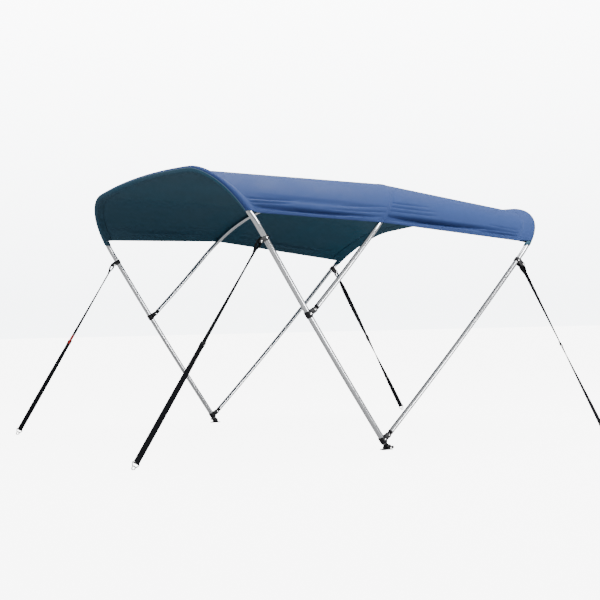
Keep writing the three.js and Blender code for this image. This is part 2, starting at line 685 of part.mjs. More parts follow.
// Direction from one bow towards the next, slanted along the tube as the rows are, and the normal
// of the cloth that leaves the tube there
function spanAt(frame, other) {
  const toward = other.centre.clone().sub(frame.centre);
  const n = toward.dot(frame.out);
  const a = toward.dot(frame.aft);
  const sign = Math.sign(a);
  const size = Math.hypot(n, a);
  const along = toward.clone().divideScalar(size);
  const normal = frame.out.clone().multiplyScalar((sign * a) / size);
  normal.addScaledVector(frame.aft, (-sign * n) / size);
  return { along, normal };
}

// Cloth round an end bow: from the free edge of the under layer, round the tube, to the seam where
// the two layers meet behind it
function pocketPoints(frame, span, radius, seam) {
  const place = (back, rise) =>
    frame.centre.clone().addScaledVector(span.along, back).addScaledVector(span.normal, rise);
  const tilt = Math.atan2(seam.rise, seam.reach);
  const half = Math.acos(radius / Math.hypot(seam.reach, seam.rise));
  const points = [place(seam.reach - LAP.back, seam.rise - LAP.drop)];
  for (let i = 0; i <= WRAP_STEPS; i += 1) {
    const angle = THREE.MathUtils.lerp(2 * Math.PI + tilt - half, tilt + half, i / WRAP_STEPS);
    points.push(place(radius * Math.cos(angle), radius * Math.sin(angle)));
  }
  points.push(place(seam.reach, seam.rise));
  return points;
}

// Depth of all folds at one place of a panel
function foldDepth(panel, side, f, g) {
  let depth = 0;
  for (const fold of FOLDS) {
    if (fold.panel !== panel || fold.side !== side) continue;
    const t = (f - fold.f0) / (fold.f1 - fold.f0);
    if (t <= 0 || t >= 1) continue;
    const off = (g - THREE.MathUtils.lerp(fold.g0, fold.g1, t)) / fold.half;
    if (Math.abs(off) >= 1) continue;
    depth += fold.depth * Math.sqrt(Math.sin(Math.PI * t)) * Math.cos(off * Math.PI / 2) ** 2;
  }
  return depth;
}

function spanPoints(from, to, panel, side, height) {
  const points = [];
  const flat = to.point.clone().sub(from.point);
  for (let i = 1; i < SPAN_STEPS; i += 1) {
    const f = i / SPAN_STEPS;
    const normal = from.normal.clone().lerp(to.normal, f).normalize();
    const point = from.point.clone().addScaledVector(flat, f);
    points.push(point.addScaledVector(normal, -foldDepth(panel, side, f, height)));
  }
  return points;
}

// One row of the canopy's middle surface, from the front hem to the rear hem
function canopyRow(side, edge, row) {
  const frames = {};
  let height = 0;
  for (const [key, bow] of Object.entries({ main: MAIN, mid: MID, rear: REAR })) {
    height = rowHeights(edge[key])[row];
    frames[key] = bowAt(bow, side, legLength(bow) + edge[key] + height);
  }
  const outer = CLOTH_PLAY + CLOTH / 2;
  const radius = { main: MAIN.tube / 2 + outer, mid: MID.tube / 2 + outer, rear: REAR.tube / 2 + outer };
  const fore = spanAt(frames.main, frames.mid);
  const aft = spanAt(frames.rear, frames.mid);
  const midNormal = spanAt(frames.mid, frames.main).normal;
  midNormal.add(spanAt(frames.mid, frames.rear).normal).normalize();
  const frontPocket = pocketPoints(frames.main, fore, radius.main, POCKET.main);
  const rearPocket = pocketPoints(frames.rear, aft, radius.rear, POCKET.rear).reverse();
  const front = { point: frontPocket[frontPocket.length - 1], normal: fore.normal };
  const rear = { point: rearPocket[0], normal: aft.normal };
  const ridge = frames.mid.centre.clone().addScaledVector(midNormal, radius.mid);
  const mid = { point: ridge, normal: midNormal };
  const behind = rear.point.clone().sub(ridge).projectOnPlane(midNormal).setLength(MID_SEAM);
  const seam = { point: ridge.clone().add(behind), normal: midNormal };
  return [
    ...frontPocket, ...spanPoints(front, mid, 'front', side, height), ridge,
    seam.point, ...spanPoints(seam, rear, 'rear', side, height), ...rearPocket,
  ];
}

// Closed sheet: a grid of middle points, thickened along its own normals
function sheetGeometry(grid, thick) {
  const rows = grid.length;
  const columns = grid[0].length;
  const normalAt = (r, c) => {
    const down = grid[Math.max(r - 1, 0)][c];
    const up = grid[Math.min(r + 1, rows - 1)][c];
    const toUp = up.clone().sub(down);
    const back = grid[r][Math.max(c - 1, 0)];
    const ahead = grid[r][Math.min(c + 1, columns - 1)];
    const before = grid[r][c].clone().sub(back);
    const after = ahead.clone().sub(grid[r][c]);
    const along = before.normalize().add(after.normalize());
    return new THREE.Vector3().crossVectors(along, toUp).normalize();
  };
  const faces = { outer: [], inner: [] };
  grid.forEach((row, r) => row.forEach((point, c) => {
    const normal = normalAt(r, c);
    faces.outer.push(point.clone().addScaledVector(normal, thick / 2));
    faces.inner.push(point.clone().addScaledVector(normal, -thick / 2));
  }));
  const count = rows * columns;
  const outer = (r, c) => r * columns + c;
  const inner = (r, c) => count + outer(r, c);
  const index = [];
  const quad = (a, b, c, d) => index.push(a, b, c, a, c, d);
  for (let r = 0; r < rows - 1; r += 1) {
    for (let c = 0; c < columns - 1; c += 1) {
      quad(outer(r, c), outer(r, c + 1), outer(r + 1, c + 1), outer(r + 1, c));
      quad(inner(r, c), inner(r + 1, c), inner(r + 1, c + 1), inner(r, c + 1));
    }
    quad(outer(r, 0), outer(r + 1, 0), inner(r + 1, 0), inner(r, 0));
    const last = columns - 1;
    quad(outer(r, last), inner(r, last), inner(r + 1, last), outer(r + 1, last));
  }
  for (let c = 0; c < columns - 1; c += 1) {
    quad(outer(0, c), inner(0, c), inner(0, c + 1), outer(0, c + 1));
    quad(outer(rows - 1, c), outer(rows - 1, c + 1), inner(rows - 1, c + 1), inner(rows - 1, c));
  }
  const geometry = new THREE.BufferGeometry().setFromPoints([...faces.outer, ...faces.inner]);
  geometry.setIndex(index);
  geometry.computeVertexNormals();
  return geometry;
}

function canopyGeometry() {
  const grid = [];
  const half = rowHeights(0).length;
  for (let row = 0; row < half; row += 1) grid.push(canopyRow(NEAR, EDGE.near, row));
  for (let row = half - 2; row >= 0; row -= 1) grid.push(canopyRow(FAR, EDGE.far, row));
  return sheetGeometry(grid, CLOTH);
}

// Pocket end: a short cloth tube round the bow, just below the canopy's corner and slanted as its
// hem is, which climbs the tube on its way to the mid bow
function addPocketEnd({ name, bow, side, edge, midEdge, length }) {
  const corner = bowAt(bow, side, legLength(bow) + edge);
  const toMid = bowAt(MID, side, legLength(MID) + midEdge).centre.clone().sub(corner.centre);
  const aftPart = toMid.dot(corner.aft);
  const outPart = toMid.dot(corner.out) * side;
  const slant = toMid.dot(corner.tangent) / (aftPart ** 2 + outPart ** 2);
  const inner = bow.tube / 2 + CLOTH_PLAY;
  const outer = inner + CLOTH;
  const half = length / 2;
  const profile = [[inner, -half], [outer, -half], [outer, half], [inner, half], [inner, -half]];
  const at = legLength(bow) + edge - half - POCKET_END_DROP;
  const shear = new THREE.Matrix4().makeShear(0, slant * aftPart, 0, slant * outPart, 0, 0);
  const tube = turned(profile, 12).applyMatrix4(shear);
  placeIn(addPiece(`pocket_end_${name}`, tube, CLOTH_NAVY), legFrame(bow, side, at));
}

addPiece('canopy', canopyGeometry(), CLOTH_NAVY);
POCKET_ENDS.forEach(addPocketEnd);
bowTube('main_bow', MAIN);
bowTube('mid_bow', MID);
bowTube('rear_bow', REAR);
for (const [name, side] of Object.entries(SIDES)) {
  addFoot(name, side);
  addJaw(`mid_${name}`, MID_JAW_AT[name], side);
  addJaw(`rear_${name}`, FOOT_JAW_AT, side);
  placeIn(addPiece(`mid_eye_${name}`, eyeGeometry(AUX_EYE), NYLON_BLACK), legFrame(MID, side, 0));
  placeIn(addPiece(`rear_eye_${name}`, eyeGeometry(AUX_EYE), NYLON_BLACK), legFrame(REAR, side, 0));
}
STRAPS.forEach(addStrap);
addTag(STRAPS.find(({ name }) => name === 'front_far'));

export default top;
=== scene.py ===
# %% [markdown]
# # A bimini top: cloth stretched over three tube bows
#
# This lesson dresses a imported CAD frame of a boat's bimini top. The solids give the size and
# the place of everything. Here the cloth becomes a thin sewn sheet, the facetted tubes become
# round, the straps become webbing, and every surface gets its finish. Lengths are in metres.
# +X is aft, +Y is the far side and +Z is up.

# %% Load the frame
import math

import bmesh
import bpy
import numpy as np
from mathutils import Matrix, Vector


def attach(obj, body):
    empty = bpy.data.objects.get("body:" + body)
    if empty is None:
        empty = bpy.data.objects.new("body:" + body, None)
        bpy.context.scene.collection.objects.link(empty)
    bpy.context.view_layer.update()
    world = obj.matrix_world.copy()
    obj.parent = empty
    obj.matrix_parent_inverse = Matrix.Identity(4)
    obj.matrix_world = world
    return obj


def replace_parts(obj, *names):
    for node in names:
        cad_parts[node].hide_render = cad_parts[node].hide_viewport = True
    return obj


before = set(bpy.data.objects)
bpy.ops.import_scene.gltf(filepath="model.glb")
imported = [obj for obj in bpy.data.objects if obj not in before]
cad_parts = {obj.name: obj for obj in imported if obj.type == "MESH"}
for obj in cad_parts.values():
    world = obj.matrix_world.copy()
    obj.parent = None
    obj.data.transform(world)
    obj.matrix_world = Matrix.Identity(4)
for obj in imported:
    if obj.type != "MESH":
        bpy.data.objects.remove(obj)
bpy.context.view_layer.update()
NEAR, FAR = -1, 1
SIDES = {"near": NEAR, "far": FAR}

# %% [markdown]
# ## The camera
#
# The view was worked out from the bows in the photograph: their feet, crowns and straps were
# matched by a camera of known place, turn and lens. A small shift moves the picture's centre to
# where the photograph was cropped. A Track To constraint could aim the camera, but it can't hold a
# slight roll, so the turn is built from three angles. The camera comes first, because all later
# judging is done through it.

# %% Camera
CAMERA_PLACE = Vector((-2.8135, -5.168, 0.556))
CAMERA_YAW, CAMERA_PITCH, CAMERA_ROLL = (math.radians(a) for a in (28.1, 1.13, -1.10))
CAMERA_LENS, CAMERA_SHIFT, CAMERA_SEES_TO = 69.5, (0.0168, 0.0015), 300


def camera_turn(yaw, pitch, roll):
    """Turn of a camera: yaw from +Y towards +X, pitch above the level, roll about its view."""
    ahead = Vector((math.sin(yaw) * math.cos(pitch), math.cos(yaw) * math.cos(pitch), math.sin(pitch)))
    level = Vector((math.cos(yaw), -math.sin(yaw), 0))
    above = level.cross(ahead)
    right = math.cos(roll) * level + math.sin(roll) * above
    up = -math.sin(roll) * level + math.cos(roll) * above
    return Matrix((right, up, -ahead)).transposed().to_4x4()


camera_data = bpy.data.cameras.new("camera")
camera_data.lens = CAMERA_LENS
camera_data.shift_x, camera_data.shift_y = CAMERA_SHIFT
camera_data.clip_end = CAMERA_SEES_TO
camera = bpy.data.objects.new("camera", camera_data)
turn = camera_turn(CAMERA_YAW, CAMERA_PITCH, CAMERA_ROLL)
camera.matrix_world = Matrix.Translation(CAMERA_PLACE) @ turn
bpy.context.scene.collection.objects.link(camera)
bpy.context.scene.camera = camera
print("camera: %.1f mm lens, %.2f m from the middle of the floor" % (CAMERA_LENS, CAMERA_PLACE.length))

# %% [markdown]
# ## Lines of the bows
#
# Each bow is one tube: two legs that flex a little and an arch of two corner arcs, two wider
# shoulder arcs and one long crown arc. The canopy, the straps and the fittings all sit on these
# lines. They could be drawn as curves and measured, but written as functions of the distance along
# the tube, a fitting can ask for the exact point and direction where it sits.

# %% The arch that the three bows share
HALF_WIDTH = 0.9
CORNER_RADIUS, CORNER_TURN = 0.310, math.radians(52.8)
SHOULDER_RADIUS, SHOULDER_TURN = 0.397, math.radians(32.7)
FULL_TURN = CORNER_TURN + SHOULDER_TURN
CORNER_LENGTH = CORNER_RADIUS * CORNER_TURN
SHOULDER_END = CORNER_LENGTH + SHOULDER_RADIUS * SHOULDER_TURN
CORNER_IN = CORNER_RADIUS * (1 - math.cos(CORNER_TURN))
CORNER_UP = CORNER_RADIUS * math.sin(CORNER_TURN)
SHOULDER_IN = CORNER_IN + SHOULDER_RADIUS * (math.cos(CORNER_TURN) - math.cos(FULL_TURN))
SHOULDER_UP = CORNER_UP + SHOULDER_RADIUS * (math.sin(FULL_TURN) - math.sin(CORNER_TURN))
CROWN_RADIUS = (HALF_WIDTH - SHOULDER_IN) / math.cos(FULL_TURN)
HALF_ARCH = SHOULDER_END + CROWN_RADIUS * (math.pi / 2 - FULL_TURN)
ARCH_RISE = SHOULDER_UP + CROWN_RADIUS * (1 - math.sin(FULL_TURN))


def arch_at(distance):
    """Distance from the middle, rise and turn of the tube, past the top of the leg."""
    if distance < CORNER_LENGTH:
        turned = max(distance, 0) / CORNER_RADIUS
        return HALF_WIDTH - CORNER_RADIUS * (1 - math.cos(turned)), CORNER_RADIUS * math.sin(turned), turned
    if distance < SHOULDER_END:
        turned = CORNER_TURN + (distance - CORNER_LENGTH) / SHOULDER_RADIUS
        half = HALF_WIDTH - CORNER_IN - SHOULDER_RADIUS * (math.cos(CORNER_TURN) - math.cos(turned))
        return half, CORNER_UP + SHOULDER_RADIUS * (math.sin(turned) - math.sin(CORNER_TURN)), turned
    turned = FULL_TURN + (distance - SHOULDER_END) / CROWN_RADIUS
    half = HALF_WIDTH - SHOULDER_IN - CROWN_RADIUS * (math.cos(FULL_TURN) - math.cos(turned))
    return half, SHOULDER_UP + CROWN_RADIUS * (math.sin(turned) - math.sin(FULL_TURN)), turned


print("arch: half length %.3f, rise %.3f m" % (HALF_ARCH, ARCH_RISE))

# %% [markdown]
# A leg is a straight line with a slight bend. The two feet of a bow may stand in different places:
# then the bow is a little skewed, and the skew fades out towards the top of its legs.

# %% One bow
SKEW_REACH, SKEW_POWER = 0.900, 1.5


class Bow:
    """The line of a bow. Distances run up a leg from the eye in its foot; the tube begins at start."""

    def __init__(self, near_foot, far_foot, lean, length, flex, tube, start):
        self.foot, self.skew = (near_foot + far_foot) / 2, (near_foot - far_foot) / 2
        self.lean, self.flex = math.radians(lean), flex
        self.radius, self.start, self.leg = tube / 2, start, length - ARCH_RISE
        self.along = np.array((math.sin(self.lean), math.cos(self.lean)))
        self.across = np.array((self.along[1], -self.along[0]))

    def leg_at(self, distance):
        bend = math.pi * distance / self.leg
        point = self.foot + distance * self.along + self.flex * math.sin(bend) * self.across
        tangent = self.along + self.flex * math.pi / self.leg * math.cos(bend) * self.across
        return point, tangent / np.linalg.norm(tangent)

    def at(self, side, distance):
        """Centre, tangent up the bow, outward normal and aft normal of the tube."""
        point, tangent = self.leg_at(min(distance, self.leg))
        left = max(1 - distance / SKEW_REACH, 0)
        point = point - side * left ** SKEW_POWER * self.skew
        if distance < self.leg:
            tangent = tangent + side * SKEW_POWER / SKEW_REACH * left ** (SKEW_POWER - 1) * self.skew
        tx, tz = tangent / np.linalg.norm(tangent)
        half, rise, turned = arch_at(distance - self.leg)
        up, inward = np.array((tx, 0, tz)), np.array((0, -side, 0))
        centre = np.array((point[0], side * half, point[1])) + rise * up
        tangent = math.cos(turned) * up + math.sin(turned) * inward
        out = math.sin(turned) * up - math.cos(turned) * inward
        return centre, tangent, out, np.array((tz, 0, -tx))


# %% [markdown]
# The main bow stands on the hinge pins. The other two are held by jaws that slide on the main bow's
# legs. The near jaw of the mid bow has slid lower than the far one, so that bow is the skewed one.

# %% The three bows
PIN_X, PIN_Z = -0.0721, 0.016
JAW_REACH, FOOT_JAW_AT = 0.035, 0.0335
MID_JAW_AT = {NEAR: 0.690, FAR: 0.707}
MAIN_TUBE, AUX_TUBE = 0.0254, 0.0222
MAIN_START, AUX_START = 0.0163, 0.0213


def jaw_pivot(bow, distance):
    """The point, as (x, z), where a jaw on this bow holds the eye of another one."""
    point, (tx, tz) = bow.leg_at(distance)
    return point + JAW_REACH * np.array((tz, -tx))


PIN = np.array((PIN_X, PIN_Z))
MAIN = Bow(PIN, PIN, lean=-32.5, length=1.460, flex=-0.006, tube=MAIN_TUBE, start=MAIN_START)
mid_feet = [jaw_pivot(MAIN, MID_JAW_AT[side]) for side in (NEAR, FAR)]
MID = Bow(*mid_feet, lean=42.8, length=0.793, flex=0.003, tube=AUX_TUBE, start=AUX_START)
rear_foot = jaw_pivot(MAIN, FOOT_JAW_AT)
REAR = Bow(rear_foot, rear_foot, lean=43.6, length=1.445, flex=0.008, tube=AUX_TUBE, start=AUX_START)
BOWS = {"main": MAIN, "mid": MID, "rear": REAR}
print("legs:", {name: round(bow.leg, 3) for name, bow in BOWS.items()}, "m")

# %% [markdown]
# ## Two shader groups that several finishes share
#
# Cloth and webbing are both woven, and metal and nylon both carry fine uneven wear. Each effect
# could be wired anew in every material. As one node group with named sockets it is built once, and
# a finish only says how large and how strong it is.

# %% Sockets and sums in a node tree


def group_socket(tree, name, kind, out=False, value=None):
    """Gives a shader group a named input or output."""
    socket = tree.interface.new_socket(name, in_out="OUTPUT" if out else "INPUT", socket_type=kind)
    if value is not None:
        socket.default_value = value


def math_node(tree, operation, first, second=None):
    """A Math node's result. Each of its inputs is a number or another node's output."""
    node = tree.nodes.new("ShaderNodeMath")
    node.operation = operation
    for socket, value in zip(node.inputs, (first, second)):
        if isinstance(value, (int, float)):
            socket.default_value = value
        elif value is not None:
            tree.links.new(value, socket)
    return node.outputs[0]


# %% Weave


def make_weave_group():
    """Two crossing rows of threads along a UV map that is laid out in metres."""
    tree = bpy.data.node_groups.new("weave", "ShaderNodeTree")
    group_socket(tree, "UV", "NodeSocketVector")
    group_socket(tree, "Threads per metre", "NodeSocketFloat", value=900.0)
    group_socket(tree, "Threads along per metre", "NodeSocketFloat", value=900.0)
    group_socket(tree, "Height", "NodeSocketFloat", out=True)
    inside, outside = tree.nodes.new("NodeGroupInput"), tree.nodes.new("NodeGroupOutput")
    split = tree.nodes.new("ShaderNodeSeparateXYZ")
    tree.links.new(inside.outputs["UV"], split.inputs[0])
    waves = []
    for axis, rate in (("X", "Threads per metre"), ("Y", "Threads along per metre")):
        turns = math_node(tree, "MULTIPLY", split.outputs[axis], inside.outputs[rate])
        waves.append(math_node(tree, "SINE", math_node(tree, "MULTIPLY", turns, math.pi)))
    product = math_node(tree, "MULTIPLY", *waves)
    height = math_node(tree, "MULTIPLY_ADD", product, 0.5)
    height.node.inputs[2].default_value = 0.5
    tree.links.new(height, outside.inputs["Height"])
    return tree


WEAVE = make_weave_group()
print("weave group:", len(WEAVE.nodes), "nodes")

# %% Wear


def make_wear_group():
    """A blotchy mask between 0 and 1, and a fine grain, both on Object coordinates."""
    tree = bpy.data.node_groups.new("wear", "ShaderNodeTree")
    group_socket(tree, "Position", "NodeSocketVector")
    group_socket(tree, "Blotch scale", "NodeSocketFloat", value=20.0)
    group_socket(tree, "Grain scale", "NodeSocketFloat", value=900.0)
    group_socket(tree, "Blotch", "NodeSocketFloat", out=True)
    group_socket(tree, "Grain", "NodeSocketFloat", out=True)
    inside, outside = tree.nodes.new("NodeGroupInput"), tree.nodes.new("NodeGroupOutput")
    for name, scale, detail in (("Blotch", "Blotch scale", 4), ("Grain", "Grain scale", 2)):
        noise = tree.nodes.new("ShaderNodeTexNoise")
        noise.inputs["Detail"].default_value = detail
        tree.links.new(inside.outputs["Position"], noise.inputs["Vector"])
        tree.links.new(inside.outputs[scale], noise.inputs["Scale"])
        tree.links.new(noise.outputs["Fac"], outside.inputs[name])
    return tree


WEAR = make_wear_group()
print("wear group:", len(WEAR.nodes), "nodes")

# %% [markdown]
# ## Finishes
#
# A finish starts from a Principled shader. The wear group varies its colour and roughness a
# little, the weave group lifts threads by a bump, and plain numbers such as sheen stay on the
# shader's own sockets, where an export can read them.

# %% How a finish is made
MAP_RANGE = "ShaderNodeMapRange"
BLOTCH_SPAN = (0.3, 0.7)


class Finish:
    """A material: a Principled shader with plain numbers, wear, weave and fine relief."""

    def __init__(self, name, **numbers):
        self.material = bpy.data.materials.new(name)
        self.material.use_nodes = True
        self.tree = self.material.node_tree
        self.shader = self.tree.nodes["Principled BSDF"]
        for socket, value in numbers.items():
            self.shader.inputs[socket.replace("_", " ")].default_value = value
        self.bump = None

    def link(self, source, target):
        self.tree.links.new(source, target)

    def group(self, tree, **values):
        node = self.tree.nodes.new("ShaderNodeGroup")
        node.node_tree = tree
        for socket, value in values.items():
            node.inputs[socket.replace("_", " ")].default_value = value
        return node

    def wear(self, dark, light, rough, blotch_scale, grain_scale, grain_depth):
        """Colour between dark and light, and roughness between two values, by the wear group."""
        place = self.tree.nodes.new("ShaderNodeTexCoord")
        wear = self.group(WEAR, Blotch_scale=blotch_scale, Grain_scale=grain_scale)
        self.link(place.outputs["Object"], wear.inputs["Position"])
        mix = self.tree.nodes.new("ShaderNodeMix")
        mix.data_type = "RGBA"
        mix.inputs["A"].default_value, mix.inputs["B"].default_value = (*dark, 1), (*light, 1)
        self.link(wear.outputs["Blotch"], mix.inputs["Factor"])
        self.link(mix.outputs["Result"], self.shader.inputs["Base Color"])
        span = self.tree.nodes.new(MAP_RANGE)
        span.inputs["From Min"].default_value, span.inputs["From Max"].default_value = BLOTCH_SPAN
        span.inputs["To Min"].default_value, span.inputs["To Max"].default_value = rough
        self.link(wear.outputs["Blotch"], span.inputs["Value"])
        self.link(span.outputs["Result"], self.shader.inputs["Roughness"])
        self.lift(wear.outputs["Grain"], grain_depth)
        return self

    def weave(self, across, along, depth):
        """Threads per metre across and along the cloth, and their height."""
        uv = self.tree.nodes.new("ShaderNodeUVMap")
        uv.uv_map = "cloth"
        weave = self.group(WEAVE, Threads_per_metre=across, Threads_along_per_metre=along)
        self.link(uv.outputs["UV"], weave.inputs["UV"])
        self.lift(weave.outputs["Height"], depth)
        return self

    def lift(self, height, depth, strength=0.6):
        bump = self.tree.nodes.new("ShaderNodeBump")
        bump.inputs["Strength"].default_value, bump.inputs["Distance"].default_value = strength, depth
        self.link(height, bump.inputs["Height"])
        if self.bump:
            self.link(self.bump.outputs["Normal"], bump.inputs["Normal"])
        self.link(bump.outputs["Normal"], self.shader.inputs["Normal"])
        self.bump = bump


# %% [markdown]
# ### Cloth
#
# The canopy is navy cloth with a darker coated underside, made darker still as painted shade; the
# same dark finish is laid as painted shade where the pockets turn under. A pale line along the front
# fold is a painted highlight. A picture of cloth could give the weave, but fine threads and soft
# blotches worked out in metres keep their size on every panel. A little blue sheen stands for the
# nap, and a low specular level keeps a bright studio from greying the cloth.

# %% Cloth finishes
OUTER_CLOTH = Finish("outer_cloth", Sheen_Weight=0.06, Sheen_Roughness=0.4, Specular_IOR_Level=0.10)
OUTER_CLOTH.shader.inputs["Sheen Tint"].default_value = (0.45, 0.60, 1.0, 1)
OUTER_CLOTH.wear((0.026, 0.053, 0.165), (0.036, 0.067, 0.200), (0.60, 0.80), 5.0, 260.0, 0.0004)
OUTER_CLOTH.weave(1400.0, 1400.0, 0.00012)
# Coated underside, darkened past its own colour as painted shade; also used on the turned-under pockets and
# the pocket ends
INNER_CLOTH_AND_SHADE = Finish("inner_cloth", Specular_IOR_Level=0.08)
INNER_CLOTH_AND_SHADE.wear((0.004, 0.085, 0.150), (0.070, 0.112, 0.150), (0.70, 0.90), 2.2, 260.0, 0.0004)
INNER_CLOTH_AND_SHADE.weave(1400.0, 1400.0, 0.00012)
# A painted highlight: the pale line along the canopy's front fold
PAINTED_FOLD_HIGHLIGHT = Finish("fold_line", Specular_IOR_Level=0.10)
PAINTED_FOLD_HIGHLIGHT.wear((0.10, 0.17, 0.25), (0.16, 0.24, 0.33), (0.60, 0.80), 40.0, 260.0, 0.0002)
print("cloth finishes:", [finish.material.name for finish in (OUTER_CLOTH, INNER_CLOTH_AND_SHADE, PAINTED_FOLD_HIGHLIGHT)])

# %% [markdown]
# ### Tubes, mouldings and steel
#
# Anodised aluminium is an even, soft metal, polished stainless steel is brighter, and moulded nylon
# is nearly black with a dull shine. A plain shader would do, but it looks too perfect on a long
# tube, so the wear group changes the roughness a little from place to place.

# %% Hard finishes
ANODISED = Finish("anodised_tube", Metallic=1.0)
ANODISED.wear((0.56, 0.57, 0.59), (0.66, 0.67, 0.69), (0.14, 0.22), 25.0, 1200.0, 0.00002)
NYLON = Finish("moulded_nylon", Specular_IOR_Level=0.25)
NYLON.wear((0.006, 0.006, 0.008), (0.012, 0.012, 0.015), (0.34, 0.48), 60.0, 1500.0, 0.00008)
STAINLESS = Finish("polished_stainless", Metallic=1.0)
STAINLESS.wear((0.66, 0.66, 0.65), (0.78, 0.78, 0.77), (0.12, 0.24), 90.0, 2500.0, 0.00001)
print("hard finishes:", [finish.material.name for finish in (ANODISED, NYLON, STAINLESS)])

# %% [markdown]
# ### Webbing, thread and tape
#
# Webbing has coarse ribs across its run, so it counts far fewer threads along than across. The
# sewing thread is a little lighter than the cloth that it stands on, and the tag is red tape.

# %% Webbing, thread and tape
WEBBING = Finish("webbing", Specular_IOR_Level=0.10)
WEBBING.wear((0.004, 0.0045, 0.006), (0.009, 0.010, 0.013), (0.6, 0.8), 60.0, 900.0, 0.0001)
WEBBING.weave(1300.0, 420.0, 0.0004)
THREAD = Finish("thread", Specular_IOR_Level=0.2)
THREAD.wear((0.035, 0.065, 0.165), (0.055, 0.095, 0.230), (0.5, 0.7), 200.0, 3000.0, 0.00005)
TAPE = Finish("red_tape", Specular_IOR_Level=0.2)
TAPE.wear((0.42, 0.012, 0.012), (0.56, 0.022, 0.020), (0.5, 0.7), 80.0, 900.0, 0.0001)
TAPE.weave(1500.0, 800.0, 0.0002)
print("finishes:", len(bpy.data.materials))

# %% [markdown]
# ## Small tools for meshes
#
# Every mesh here comes from plain lists of points and faces. Modifiers are applied as soon as they
# have done their work, so that each piece ends as a plain mesh, and a mesh that was closed on
# itself has its doubled points merged and all its faces turned outwards.

# %% Mesh tools


def new_object(name, mesh):
    piece = bpy.data.objects.new(name, mesh)
    bpy.context.scene.collection.objects.link(piece)
    return piece


def mesh_object(name, points, faces, finish=None, smooth=True):
    """An object from points and faces, smooth or flat, and with a finish where one is given."""
    mesh = bpy.data.meshes.new(name)
    mesh.from_pydata([tuple(p) for p in points], [], faces)
    mesh.validate()
    if smooth:
        mesh.shade_smooth()
    else:
        mesh.shade_flat()
    if finish:
        mesh.materials.append(finish.material)
    return new_object(name, mesh)


def drop(piece):
    bpy.data.objects.remove(piece, do_unlink=True)


def baked(piece, name=None):
    """The piece with its modifiers applied, as a new plain object; the old one goes."""
    name = name or piece.name
    graph = bpy.context.evaluated_depsgraph_get()
    mesh = bpy.data.meshes.new_from_object(piece.evaluated_get(graph), depsgraph=graph)
    drop(piece)
    mesh.name = name
    return new_object(name, mesh)


def outward(piece, merge=0.0):
    """Merges points that lie within the given distance, and turns all faces outwards."""
    work = bmesh.new()
    work.from_mesh(piece.data)
    if merge:
        bmesh.ops.remove_doubles(work, verts=work.verts, dist=merge)
    bmesh.ops.recalc_face_normals(work, faces=work.faces)
    work.to_mesh(piece.data)
    work.free()
    return piece


# %% [markdown]
# ## Geometry Nodes: a round tube along a line, and stitches along a seam
#
# A bow tube is a circle swept along its line, and a row of stitches is one short thread copied
# along a seam. Both follow a path by a rule, so each is a small node tree with named sizes. The
# result is realised and turned into a plain mesh.

# %% Start and end of a tree


def node_tree(name, **sizes):
    """A new geometry tree whose sizes are named inputs, with its first and its last node."""
    tree = bpy.data.node_groups.new(name, "GeometryNodeTree")
    tree.interface.new_socket("Geometry", in_out="INPUT", socket_type="NodeSocketGeometry")
    tree.interface.new_socket("Geometry", in_out="OUTPUT", socket_type="NodeSocketGeometry")
    for size, value in sizes.items():
        kind = "NodeSocketInt" if isinstance(value, int) else "NodeSocketFloat"
        socket = tree.interface.new_socket(size.replace("_", " "), in_out="INPUT", socket_type=kind)
        socket.default_value = value
    tree.interface.new_socket("Finish", in_out="INPUT", socket_type="NodeSocketMaterial")
    return tree, tree.nodes.new("NodeGroupInput"), tree.nodes.new("NodeGroupOutput")


def finish_tree(tree, inside, outside, geometry):
    """Smooths, realises and paints what a tree has made, as an export drops instances."""
    realise, paint = tree.nodes.new("GeometryNodeRealizeInstances"), tree.nodes.new("GeometryNodeSetMaterial")
    smooth = tree.nodes.new("GeometryNodeSetShadeSmooth")
    tree.links.new(geometry, smooth.inputs["Geometry"])
    tree.links.new(smooth.outputs["Geometry"], realise.inputs["Geometry"])
    tree.links.new(realise.outputs["Geometry"], paint.inputs["Geometry"])
    tree.links.new(inside.outputs["Finish"], paint.inputs["Material"])
    tree.links.new(paint.outputs["Geometry"], outside.inputs["Geometry"])
    return tree


# %% Round tube


def make_tube_tree():
    """A circle swept along a line, with closed ends."""
    tree, inside, outside = node_tree("round_tube", Radius=0.01, Sides=32)
    line = tree.nodes.new("GeometryNodeMeshToCurve")
    ring = tree.nodes.new("GeometryNodeCurvePrimitiveCircle")
    sweep = tree.nodes.new("GeometryNodeCurveToMesh")
    sweep.inputs["Fill Caps"].default_value = True
    tree.links.new(inside.outputs["Geometry"], line.inputs["Mesh"])
    tree.links.new(inside.outputs["Radius"], ring.inputs["Radius"])
    tree.links.new(inside.outputs["Sides"], ring.inputs["Resolution"])
    tree.links.new(line.outputs["Curve"], sweep.inputs["Curve"])
    tree.links.new(ring.outputs["Curve"], sweep.inputs["Profile Curve"])
    return finish_tree(tree, inside, outside, sweep.outputs["Mesh"])


TUBE_TREE = make_tube_tree()
print("tube tree:", len(TUBE_TREE.nodes), "nodes")

# %% Stitches


